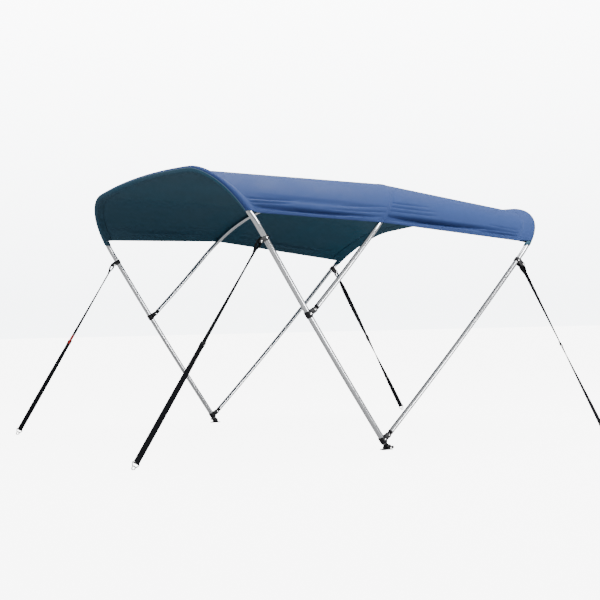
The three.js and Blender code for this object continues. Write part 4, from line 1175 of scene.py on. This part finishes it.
def bolt_master(name, grip):
    """A bolt along Y: domed head with a socket at -Y, a shank through the grip, a nut at +Y."""
    face = grip / 2 + SEAT_GAP
    quarter = np.linspace(0, math.pi / 2, 7)
    dome = [(BOLT_HEAD * math.cos(a), -face - HEAD_RIM - HEAD_DOME * math.sin(a)) for a in quarter]
    profile = [(0, face + TIP_AT), (TIP_RADIUS, face + TIP_AT), (BOLT_RADIUS, face + TIP_FROM)]
    profile += [(BOLT_RADIUS, -face), (BOLT_HEAD, -face), *dome[:-1], (0, dome[-1][1])]
    shank = turned(name, profile, BOLT_SIDES)
    nut = hexagon("nut", NUT_FLATS, face, face + NUT_HIGH)
    socket = hexagon("socket", SOCKET_FLATS, -face - SOCKET_TOP, -face - SOCKET_FLOOR)
    piece = carved(shank, ("UNION", nut), ("DIFFERENCE", socket), bevel=0.0002)
    piece.data.transform(Matrix.Rotation(-math.pi / 2, 4, "X"))
    return piece


jaw_bolt = bolt_master("jaw_bolt_master", EYE_GAP + 2 * EAR_THICK)
bracket_bolt = bolt_master("bracket_bolt_master", BRACKET_GAP + 2 * BRACKET_EAR)
screw_socket = hexagon("socket", SCREW_FLATS, SCREW_FLOOR, SCREW_TOP)
set_screw = carved(turned("set_screw_master", SCREW_PROFILE), ("DIFFERENCE", screw_socket), bevel=0.0002)
print("bolts and screw:", [len(o.data.polygons) for o in (jaw_bolt, bracket_bolt, set_screw)], "faces")

# %% [markdown]
# The heads of the bolts and the set screws face outboard on both sides of the boat. A mirrored copy
# would do that too, but it turns a shape inside out, so the copies are turned instead.

# %% Jaws, eyes and bolts in place
JAW_SCREW_ASIDE, JAW_SCREW_STAND = 0.005, 0.0142


def outboard_frame(matrix, origin, side):
    """The same up direction, with -Y towards the outboard side, where a bolt's head is."""
    up, y = matrix.col[2].to_3d(), matrix.col[1].to_3d()
    y *= -side * math.copysign(1, y.y)
    return local_frame(y.cross(up), y, up, origin)


def add_set_screw(name, bow, side, distance, aside, stand):
    """A screw in the outboard face of a fitting, standing on its wall."""
    centre, tangent, out, aft = bow.at(side, distance)
    matrix = local_frame(tangent, np.cross(out, tangent), out, centre + aside * aft + stand * out)
    placed_copy(set_screw, name, matrix, STAINLESS, "frame")


for place, side in SIDES.items():
    for kind, distance, aux in (("mid", MID_JAW_AT[side], MID), ("rear", FOOT_JAW_AT, REAR)):
        matrix = leg_frame(MAIN, side, distance)
        pivot = matrix @ Vector((JAW_REACH, 0, 0))
        placed_copy(jaw, f"jaw_{kind}_{place}_nylon", matrix, NYLON, "frame", f"jaw_{kind}_{place}")
        bolt_at = outboard_frame(matrix, pivot, side)
        bolt = f"jaw_bolt_{kind}_{place}"
        placed_copy(jaw_bolt, f"{bolt}_steel", bolt_at, STAINLESS, "frame", bolt)
        eye_at = leg_frame(aux, side, 0)
        placed_copy(aux_eye, f"{kind}_eye_{place}_nylon", eye_at, NYLON, "frame", f"{kind}_eye_{place}")
        screw = f"jaw_screw_{kind}_{place}"
        add_set_screw(screw, MAIN, side, distance, JAW_SCREW_ASIDE, JAW_SCREW_STAND)
    eye_at = leg_frame(MAIN, side, 0)
    placed_copy(main_eye, f"main_eye_{place}_nylon", eye_at, NYLON, "frame", f"main_eye_{place}")

# %% [markdown]
# ## Deck hinges
#
# The plate carries two round cheeks with a boss on the outboard one, and a quick-release pin with
# a knob. Base and pin are one body, which turns about the pin when the deck is sloped. The near and
# the far hinge could be one mesh and its mirror image; here the side is an input of the master.

# %% Deck hinges
PLATE_LENGTH, PLATE_WIDTH, PLATE_THICK, PLATE_ROUND = 0.056, 0.030, 0.0035, 0.009
CHEEK_THICK, CHEEK_ROUND, CHEEK_FOOT, BOSS_ROUND, BOSS_OUT = 0.005, 0.011, 0.016, 0.0095, 0.024
CHEEK_SINK = 0.001
# The pin from its inboard end to its knob: radius, and distance outboard of the leg
PIN_PROFILE = [(0, -0.013), (0.0022, -0.013), (0.003, -0.0122), (0.003, 0.042), (0.0045, 0.0432)]
PIN_PROFILE += [(0.006, 0.0462), (0.006, 0.051), (0.0052, 0.0538), (0.003, 0.056), (0, 0.056)]


def rounded_box(length, width, radius, steps=8):
    """Outline of a plate with four round corners."""
    outline = []
    corners = ((1, 1, 0), (-1, 1, 1), (-1, -1, 2), (1, -1, 3))
    for sx, sy, quarter in corners:
        for i in range(steps + 1):
            a = math.pi / 2 * (quarter + i / steps)
            outline.append((sx * (length / 2 - radius) + radius * math.cos(a),
                            sy * (width / 2 - radius) + radius * math.sin(a)))
    return outline


def hinge_base_master(name, side):
    """Plate, two cheeks and the outboard boss, with the pin's hole. The origin is on the pin."""
    outline = rounded_box(PLATE_LENGTH, PLATE_WIDTH, PLATE_ROUND)
    base = plate(name, outline, PLATE_THICK, "Z", PLATE_THICK / 2 - PIN_Z)
    steps = []
    for y in (-1, 1):
        outline = round_ear(-(PIN_Z - CHEEK_SINK), CHEEK_FOOT, 0, CHEEK_ROUND)
        cheek = plate("cheek", outline, CHEEK_THICK, centre=y * (EYE_GAP + CHEEK_THICK) / 2)
        cheek.data.transform(Matrix.Rotation(-math.pi / 2, 4, "Y"))
        steps.append(("UNION", cheek))
    boss = cross_rod("boss", BOSS_ROUND, BOSS_OUT - EYE_GAP / 2)
    boss.data.transform(Matrix.Translation((0, side * (BOSS_OUT + EYE_GAP / 2) / 2, 0)))
    steps += [("UNION", boss), ("DIFFERENCE", cross_rod("hole", BOLT_HOLE, 4 * PLATE_WIDTH))]
    return carved(base, *steps, bevel=0.0008)


def hinge_pin_master(name, side):
    """The pin along Y, with its knob outboard."""
    pin = turned(name, PIN_PROFILE, BOLT_SIDES)
    pin.data.transform(Matrix.Rotation(-side * math.pi / 2, 4, "X"))
    return pin


for place, side in SIDES.items():
    here = Matrix.Translation((PIN_X, side * HALF_WIDTH, PIN_Z))
    base, pin = hinge_base_master("base_master", side), hinge_pin_master("pin_master", side)
    placed_copy(base, f"hinge_base_{place}_nylon", here, NYLON, f"hinge_{place}", f"hinge_base_{place}")
    placed_copy(pin, f"hinge_pin_{place}_knob", here, NYLON, f"hinge_{place}", f"hinge_pin_{place}")
    print(f"hinge_{place}:", len(base.data.polygons), "and", len(pin.data.polygons), "faces")
    drop(base)
    drop(pin)

# %% [markdown]
# ## Straps: where they run and how they twist
#
# Each strap leaves its bracket flat across the boat and ends in a hook on the deck. The webbing
# turns on the way, so it looks wide or thin by turns. A curve with a tilt would twist it too, but
# one function that gives width and face at any turn serves the webbing and all that sits on it.

# %% Strap runs
WEB_WIDTH, WEB_THICK = 0.025, 0.0024
LOOP_LENGTH, LOOP_RADIUS, LOOP_BULGE_AT, LOOP_BULGE = 0.050, 0.0047, 0.015, 0.008
SLIDER_WIDTH, SLIDER_HEIGHT, SLIDER_THICK, SLIDER_AT = 0.032, 0.012, 0.006, 0.46
SLIDER_BAR_LENGTH, SLIDER_BAR_RADIUS = 0.027, 0.0024
NECK_AT = 0.13
HOOK_LOW, HOOK_BAR, HOOK_SINK, BRACKET_REACH = 0.030, 0.0032, 0.0007, 0.030

# Strap: bow, side, bracket's place on the bow, deck point of the hook (x and distance from the
# middle), and the turn of its width from athwartships at neck, slider and hook
STRAPS = {
    "front_near": (MAIN, NEAR, 1.065, -1.242, 0.900, 7, -17, -70),
    "front_far": (MAIN, FAR, 1.065, -1.217, 0.900, 3, -17, -80),
    "rear_near": (REAR, NEAR, 1.063, 1.188, 0.900, 6, 30, 78),
    "rear_far": (REAR, FAR, 1.134, 1.242, 0.947, -60, -130, -255),
}


class Strap:
    """One strap: its bracket's frame, its bolt, its straight run and its turns along it."""

    def __init__(self, name):
        self.bow, self.side, self.at, foot_x, foot_y, self.neck, self.slider, self.hook = STRAPS[name]
        self.frame = leg_frame(self.bow, self.side, self.at, -1 if self.bow is MAIN else 1)
        self.bolt = np.array(self.frame @ Vector((BRACKET_REACH, 0, 0)))
        foot = np.array((foot_x, self.side * foot_y, 0))
        self.length = float(np.linalg.norm(foot - self.bolt))
        self.down = (foot - self.bolt) / self.length
        axis = np.array(self.frame.col[1].to_3d())
        axis = axis * math.copysign(1, axis[1])
        athwart = axis - (axis @ self.down) * self.down
        self.athwart = athwart / np.linalg.norm(athwart)
        self.square = np.cross(self.down, self.athwart)
        self.slider_at = self.length * SLIDER_AT
        self.bar_at = self.length + HOOK_SINK - HOOK_LOW

    def turn_at(self, distance):
        """Turn of the webbing, in degrees: flat at the bracket, then by way of neck and slider."""
        marks = (LOOP_LENGTH / self.length, NECK_AT, SLIDER_AT, 1)
        return float(np.interp(distance / self.length, marks, (0, self.neck, self.slider, self.hook)))

    def turned_to(self, degrees):
        """Directions of the webbing's width and of its face, at a turn in degrees."""
        turn_by = math.radians(degrees)
        across = math.cos(turn_by) * self.athwart + math.sin(turn_by) * self.square
        return across, np.cross(self.down, across)

    def point(self, distance):
        return self.bolt + distance * self.down

    def fitting_frame(self, distance):
        """The frame of a slider or its bar: X along the width, Z back up the strap."""
        across, _ = self.turned_to(self.slider)
        return local_frame(across, np.cross(-self.down, across), -self.down, self.point(distance))


straps = {name: Strap(name) for name in STRAPS}
print("strap runs:", {name: round(s.length, 3) for name, s in straps.items()})

# %% [markdown]
# ## Webbing
#
# A strand is a thin ribbon with slightly softened edges, laid along stations that carry a point,
# a width direction and a face. A flat strip with a Simple Deform twist would be quicker, but it
# can't loop round a bolt. The UV map runs along the strand, so the ribs of the weave turn with it.

# %% Ribbon
ACROSS_MARKS, EDGE_THIN = [-0.5, -0.47, -0.3, 0.0, 0.3, 0.47, 0.5], 0.55


def ribbon(name, stations, closed=False):
    """Stations are (point, across, face). The cross-section thins at its two woven edges."""
    if closed:
        stations = [*stations, stations[0]]
    grid = np.array([[p + WEB_WIDTH * m * w for m in ACROSS_MARKS] for p, w, _ in stations])
    faces = np.array([[f for _ in ACROSS_MARKS] for *_, f in stations])
    thin = np.array([EDGE_THIN if abs(m) == 0.5 else 1.0 for m in ACROSS_MARKS])[None, :, None]
    rows, columns = grid.shape[:2]
    half = WEB_THICK / 2 * thin * faces
    points = np.concatenate([(grid + half).reshape(-1, 3), (grid - half).reshape(-1, 3)])
    count = rows * columns
    index = np.arange(count).reshape(rows, columns)
    quads = []
    for r in range(rows - 1):
        for c in range(columns - 1):
            a, b, d, e = index[r, c], index[r, c + 1], index[r + 1, c + 1], index[r + 1, c]
            quads += [(a, b, d, e), (a + count, e + count, d + count, b + count)]
        for c, order in ((0, 1), (columns - 1, -1)):
            a, b = index[r, c], index[r + 1, c]
            quads.append((a, b, b + count, a + count)[::order])
    if not closed:
        quads += [tuple(q) for q in (index[0, ::-1].tolist() + (index[0] + count).tolist(),
                                     index[-1].tolist() + (index[-1, ::-1] + count).tolist())]
    piece = mesh_object(name, points, [tuple(int(i) for i in q) for q in quads], WEBBING)
    lay_out_cloth(piece, grid)
    outward(piece, merge=1e-6 if closed else 0.0)
    length = float(np.linalg.norm(np.diff(grid[:, columns // 2], axis=0), axis=1).sum())
    return piece, length


# %% [markdown]
# The upper strand comes up from its loop's seam, goes round the bracket's bolt, bulges a little on
# both sides of it, closes, and runs down to the slider.

# %% Upper strand
LOOP_STEPS, STRAND_STEPS, STRAND_GAP, STRAND_TUCK = 15, 41, 0.0002, 0.002


def loop_spread(distance, half):
    """Distance of either leg of the loop from the strap's line: open at the bolt, then closed."""
    marks = ((0, LOOP_RADIUS), (LOOP_BULGE_AT, LOOP_BULGE), (LOOP_LENGTH, half))
    for (d0, s0), (d1, s1) in zip(marks, marks[1:]):
        if distance <= d1:
            blend = 0.5 - 0.5 * math.cos(math.pi * (distance - d0) / (d1 - d0))
            return s0 + (s1 - s0) * blend
    return half


def upper_stations(strap):
    """From the loop's seam up one side, round the bolt, down the other side and on to the slider."""
    across, face = strap.turned_to(0)
    half = WEB_THICK / 2 + STRAND_GAP

    def lay(distance, offset, turned_by):
        normal = math.cos(turned_by) * face + math.sin(turned_by) * strap.down
        return strap.point(distance) + offset * face, across, normal

    stations = []
    for distance in np.linspace(LOOP_LENGTH, 0, LOOP_STEPS)[:-1]:
        stations.append(lay(distance, -loop_spread(distance, half), math.pi))
    for a in np.linspace(0, math.pi, LOOP_STEPS):
        stations.append(lay(-LOOP_RADIUS * math.sin(a), -LOOP_RADIUS * math.cos(a), math.pi + a))
    for distance in np.linspace(0, LOOP_LENGTH, LOOP_STEPS)[1:]:
        stations.append(lay(distance, loop_spread(distance, half), 2 * math.pi))
    until = strap.slider_at - SLIDER_HEIGHT / 2 + STRAND_TUCK
    for t in np.linspace(0, 1, STRAND_STEPS)[1:]:
        distance = LOOP_LENGTH + (until - LOOP_LENGTH) * t
        across_here, face_here = strap.turned_to(strap.turn_at(distance))
        point = strap.point(distance) + half * (1 - t) * face_here
        stations.append((point, across_here, face_here))
    return stations


# %% [markdown]
# The lower strand is a closed belt: it lies double, and opens at its two ends to go round the
# slider's bar and the hook's bar.

# %% Lower belt
BELT_STEPS, BELT_TURN_STEPS, BELT_GAP, HOOK_WRAP, BELT_OPENS_WITHIN = 61, 11, 0.0003, 0.0034, 0.012


def lower_stations(strap):
    """Down one face, round the hook's bar, up the other face and round the slider's bar."""
    top = strap.slider_at + SLIDER_HEIGHT / 2 + SEAT_GAP + SLIDER_BAR_RADIUS
    low = strap.bar_at - HOOK_BAR / 2
    wrap_top, half = SLIDER_BAR_RADIUS + BELT_GAP + WEB_THICK / 2, WEB_THICK / 2 + BELT_GAP
    flat = []
    for distance in np.linspace(top, low, BELT_STEPS):
        across, face = strap.turned_to(strap.turn_at(distance))
        open_top = (wrap_top - half) * math.exp(-(((distance - top) / BELT_OPENS_WITHIN) ** 2))
        open_low = (HOOK_WRAP - half) * math.exp(-(((low - distance) / BELT_OPENS_WITHIN) ** 2))
        flat.append((distance, half + open_top + open_low, across, face))
    down = [(strap.point(d) + o * f, w, f) for d, o, w, f in flat]
    up = [(strap.point(d) - o * f, w, -f) for d, o, w, f in flat[::-1]]

    def wrap(distance, radius, across, face, start):
        turns = np.linspace(0, math.pi, BELT_TURN_STEPS)[1:-1] + start
        return [(strap.point(distance) + radius * (math.cos(a) * face + math.sin(a) * strap.down), across,
                 math.cos(a) * face + math.sin(a) * strap.down) for a in turns]

    _, _, w0, f0 = flat[0]
    _, _, w1, f1 = flat[-1]
    return [*down, *wrap(low, HOOK_WRAP, w1, f1, 0), *up, *wrap(top, wrap_top, w0, f0, math.pi)]


# %% Webbing of the four straps
for name, strap in straps.items():
    upper, upper_length = ribbon(f"strap_upper_{name}_web", upper_stations(strap))
    lower, lower_length = ribbon(f"strap_lower_{name}_web", lower_stations(strap), closed=True)
    for piece, node, length in ((upper, "strap_upper", upper_length), (lower, "strap_lower", lower_length)):
        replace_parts(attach(piece, "frame"), f"{node}_{name}")
    print(name, "strands: %.3f and %.3f m" % (upper_length, lower_length))

# %% [markdown]
# ## Strap brackets and sliders
#
# The bracket is a jaw again, with its ears set wide for the webbing. The slider is a moulded block
# with a slot and a steel bar. Both are turned to the strap that they sit on, so they are placed by
# the strap's own frame and not by eye.

# %% Brackets and sliders
BRACKET_BAND, BRACKET_ROUND, BRACKET_ROOT, BRACKET_SCREW_STAND = 0.020, 0.009, 0.011, 0.0028
SLIDER_ROUND, SLOT_PLAY, SLOT_HIGH, SLOT_ROUND, BAR_EDGE = 0.0022, 0.002, 0.0034, 0.0012, 0.0006
bracket = {
    bow: jaw_master(f"bracket_master_{bow}", 2 * BOWS[bow].radius, BRACKET_BAND, BRACKET_REACH, BRACKET_GAP,
                    BRACKET_EAR, BRACKET_ROUND, BRACKET_ROOT)
    for bow in ("main", "rear")
}


def slider_master(name):
    """A moulded block with a slot for the webbing, its height along Z."""
    outline = rounded_box(SLIDER_WIDTH, SLIDER_THICK, SLIDER_ROUND, 5)
    block = plate(name, outline, SLIDER_HEIGHT, "Z")
    hole = rounded_box(WEB_WIDTH + SLOT_PLAY, SLOT_HIGH, SLOT_ROUND, 4)
    return carved(block, ("DIFFERENCE", plate("slot", hole, 3 * SLIDER_HEIGHT, "Z")), bevel=0.0005)


slider = slider_master("slider_master")
half_bar = SLIDER_BAR_LENGTH / 2
bar_profile = [(0, -half_bar), (SLIDER_BAR_RADIUS - BAR_EDGE, -half_bar)]
bar_profile += [(SLIDER_BAR_RADIUS, BAR_EDGE - half_bar)]
bar_profile += [(r, -z) for r, z in bar_profile[::-1]]
slider_bar = turned("slider_bar_master", bar_profile, 24)
slider_bar.data.transform(Matrix.Rotation(math.pi / 2, 4, "Y"))
for name, strap in straps.items():
    which = bow_name(strap.bow)
    placed_copy(bracket[which], f"bracket_{name}_nylon", strap.frame, NYLON, "frame", f"bracket_{name}")
    bolt_at = outboard_frame(strap.frame, strap.bolt, strap.side)
    bolt = f"bracket_bolt_{name}"
    placed_copy(bracket_bolt, f"{bolt}_steel", bolt_at, STAINLESS, "frame", bolt)
    slider_frame = strap.fitting_frame(strap.slider_at)
    placed_copy(slider, f"slider_{name}_nylon", slider_frame, NYLON, "frame", f"slider_{name}")
    bar_at = strap.slider_at + SLIDER_HEIGHT / 2 + SEAT_GAP + SLIDER_BAR_RADIUS
    bar_frame = strap.fitting_frame(bar_at)
    placed_copy(slider_bar, f"slider_bar_{name}_steel", bar_frame, STAINLESS, "frame", f"slider_bar_{name}")
    screw_stand = strap.bow.radius + BRACKET_SCREW_STAND
    add_set_screw(f"bracket_screw_{name}", strap.bow, strap.side, strap.at, 0, screw_stand)
    print(name, "bracket at %.3f m up its bow, slider %.3f m down the strap" % (strap.at, strap.slider_at))

# %% [markdown]
# ## Snap hooks
#
# A steel bail for the webbing with a hook bent from round bar and a spring gate. The bar follows a
# line, so the tube's node tree sweeps it, and Booleans join it to the bail. What would reach under
# the deck is pressed flat, as the hook rests on it.

# %% Snap hooks
HOOK_SIDE, HOOK_WIRE, HOOK_GATE, HOOK_NECK = 0.0064, 0.0052, 0.003, 0.013
SHANK_END, HOOK_TIP, GATE_END = 0.001, 0.004, 0.0005
BAIL_OUTLINE = [(-0.017, HOOK_BAR), (0.017, HOOK_BAR), (0.017, -0.003), (0.010, -0.016),
                (-0.010, -0.016), (-0.017, -0.003)]
BAIL_SLOT = [(-0.0135, 0), (0.0135, 0), (0.0135, -0.0035), (0.007, -0.010), (-0.007, -0.010),
             (-0.0135, -0.0035)]
BAIL_THICK = 0.0045


def hook_master():
    """Local XZ plane: the bail with its slot on top, the bent hook and its gate below."""
    bail = plate("hook_master", BAIL_OUTLINE, BAIL_THICK)
    bail = carved(bail, ("DIFFERENCE", plate("slot", BAIL_SLOT, 0.02)), bevel=0.0011)
    bend = HOOK_LOW - HOOK_WIRE / 2 - HOOK_SIDE
    arc = [(HOOK_SIDE * math.cos(a), 0, -bend - HOOK_SIDE * math.sin(a)) for a in np.linspace(0, math.pi, 21)]
    rod = [(HOOK_SIDE, 0, -HOOK_NECK), (HOOK_SIDE, 0, -bend + SHANK_END), *arc,
           (-HOOK_SIDE, 0, -bend + HOOK_TIP)]
    gate = [(-HOOK_SIDE, 0, -HOOK_NECK), (-HOOK_SIDE, 0, -bend + GATE_END)]
    wire = along_line(TUBE_TREE, "wire", [rod], STAINLESS, Radius=HOOK_WIRE / 2, Sides=20)
    latch = along_line(TUBE_TREE, "latch", [gate], STAINLESS, Radius=HOOK_GATE / 2, Sides=16)
    return carved(bail, ("UNION", wire), ("UNION", latch), bevel=0)


hook = hook_master()
for name, strap in straps.items():
    y, up = -math.copysign(1, strap.down[0]) * strap.athwart, -strap.down
    matrix = local_frame(np.cross(y, up), y, up, strap.point(strap.bar_at))
    piece = placed_copy(hook, f"hook_{name}_steel", matrix, STAINLESS, "frame", f"hook_{name}")
    for vertex in piece.data.vertices:
        vertex.co.z = max(vertex.co.z, 0.0)

print("hooks:", len(straps), "of", len(hook.data.polygons), "faces")

# %% [markdown]
# ## Tag
#
# A short strip of red tape lies on the far front slider. It could be a flat rectangle; the slight
# curl makes it catch the light as tape does.

# %% Tag
TAG_WIDTH, TAG_LENGTH, TAG_THICK, TAG_ASIDE, TAG_ABOVE = 0.013, 0.054, 0.0008, 0.006, 0.010
TAG_LIFT, TAG_CURL, TAG_ROWS, TAG_COLUMNS = 0.0005, 0.0006, 19, 5


def tag_piece(strap):
    """A strip of tape on the slider of a strap, slightly curled along its length."""
    across, face = strap.turned_to(strap.slider)
    across = across * math.copysign(1, across[0])
    face = face * math.copysign(1, -face[1])
    lift = SLIDER_THICK / 2 + 2 * SEAT_GAP + TAG_LIFT
    rows = []
    for t in np.linspace(-0.5, 0.5, TAG_ROWS):
        curl = TAG_CURL * math.sin(5 * t)
        middle = strap.point(strap.slider_at - TAG_ABOVE + t * TAG_LENGTH)
        middle = middle + TAG_ASIDE * across + (lift + curl) * face
        rows.append([middle + TAG_WIDTH * m * across for m in np.linspace(-0.5, 0.5, TAG_COLUMNS)])
    piece = sheet_object("tag_tape", np.array(rows), TAG_THICK / 2, TAG_THICK / 2, [TAPE])
    outward(piece)
    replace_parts(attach(piece, "frame"), "tag")
    return piece


tag = tag_piece(straps["front_far"])
print("tag:", len(tag.data.polygons), "faces")
masters = [jaw, aux_eye, main_eye, jaw_bolt, bracket_bolt, set_screw, slider, slider_bar, hook]
for master in [*masters, *bracket.values()]:
    drop(master)

# %% [markdown]
# ## Studio
#
# A wide pale floor, a soft sky, two large soft lights above and two smaller ones at the sides. The
# cloth is dark and shows its underside, and a bright floor would light it from below. So floor and
# sky have one strength for the eye, one for reflections and one for the light that they give.

# %% Floor and sky
# Strength as seen directly, as mirrored, and as light on the top
FLOOR_STRENGTHS, SKY_STRENGTHS = (7.5, 0.25, 0.05), (12.5, 0.70, 0.48)
FLOOR_REACH, FLOOR_SINK, FLOOR_GREY = 60.0, 0.0005, 0.30


def camera_sees(tree, seen, mirrored, bounced):
    """Strength for what the camera sees directly, for reflections, and for light that bounces."""
    path = tree.nodes.new("ShaderNodeLightPath")
    direct, glossy = tree.nodes.new(MAP_RANGE), tree.nodes.new(MAP_RANGE)
    glossy.inputs["To Min"].default_value, glossy.inputs["To Max"].default_value = bounced, mirrored
    direct.inputs["To Max"].default_value = seen
    tree.links.new(path.outputs["Is Glossy Ray"], glossy.inputs["Value"])
    tree.links.new(path.outputs["Is Camera Ray"], direct.inputs["Value"])
    tree.links.new(glossy.outputs["Result"], direct.inputs["To Min"])
    return direct.outputs["Result"]


def make_floor():
    """A wide floor that is bright to the eye and dim as a light."""
    size = FLOOR_REACH
    corners = [(-size, -size, 0), (size, -size, 0), (size, size, 0), (-size, size, 0)]
    floor = mesh_object("floor", corners, [(0, 1, 2, 3)], smooth=False)
    floor.data.transform(Matrix.Translation((0, 0, -FLOOR_SINK)))
    finish = Finish("floor_paper", Roughness=1.0)
    finish.shader.inputs["Base Color"].default_value = (FLOOR_GREY, FLOOR_GREY, FLOOR_GREY, 1)
    finish.shader.inputs["Emission Color"].default_value = (1, 1, 1, 1)
    finish.link(camera_sees(finish.tree, *FLOOR_STRENGTHS), finish.shader.inputs["Emission Strength"])
    floor.data.materials.append(finish.material)


def make_sky():
    """A sky that is a little darker towards the horizon."""
    world = bpy.data.worlds.new("studio")
    bpy.context.scene.world = world
    world.use_nodes = True
    tree = world.node_tree
    back = tree.nodes["Background"]
    place = tree.nodes.new("ShaderNodeTexCoord")
    split = tree.nodes.new("ShaderNodeSeparateXYZ")
    ramp = tree.nodes.new("ShaderNodeValToRGB")
    tree.links.new(place.outputs["Generated"], split.inputs[0])
    tree.links.new(split.outputs["Z"], ramp.inputs["Fac"])
    tree.links.new(ramp.outputs["Color"], back.inputs["Color"])
    stops = ramp.color_ramp.elements
    stops[0].position, stops[0].color = 0.02, (0.50, 0.52, 0.54, 1)
    stops[1].position, stops[1].color = 0.45, (1.0, 1.0, 1.0, 1)
    tree.links.new(camera_sees(tree, *SKY_STRENGTHS), back.inputs["Strength"])


make_floor()
make_sky()
print("floor and sky strengths:", FLOOR_STRENGTHS, SKY_STRENGTHS)

# %% [markdown]
# Large lights close to the top give it soft, slow shading. A sun would be simpler, but it draws
# hard edges. The small front light shapes the turned cloth at the bows and is kept out of
# reflections, and the streak is seen in the tubes alone.

# %% Lights


def soft_light(name, place, target, size, power, matt=True, glossy=True):
    """A round soft light, which matt surfaces or reflections may leave out."""
    data = bpy.data.lights.new(name, "AREA")
    data.shape, data.size, data.energy = "DISK", size, power
    lamp = bpy.data.objects.new(name, data)
    ahead = Vector(target) - Vector(place)
    lamp.matrix_world = Matrix.Translation(place) @ ahead.to_track_quat("-Z", "Y").to_matrix().to_4x4()
    lamp.visible_diffuse, lamp.visible_glossy = matt, glossy
    bpy.context.scene.collection.objects.link(lamp)


soft_light("key", (2.2, -4.6, 3.8), (0, 0, 1.0), 2.4, 330)
soft_light("top", (0.5, 0.5, 4.6), (0, 0, 1.0), 3.0, 260)
soft_light("front", (-4.6, -1.6, 3.0), (-0.6, 0, 1.0), 1.6, 80, glossy=False)
soft_light("streak", (2.3, -5.4, 0.7), (0, 0, 0.6), 1.2, 110, matt=False)
print("lights:", len(bpy.data.lights))
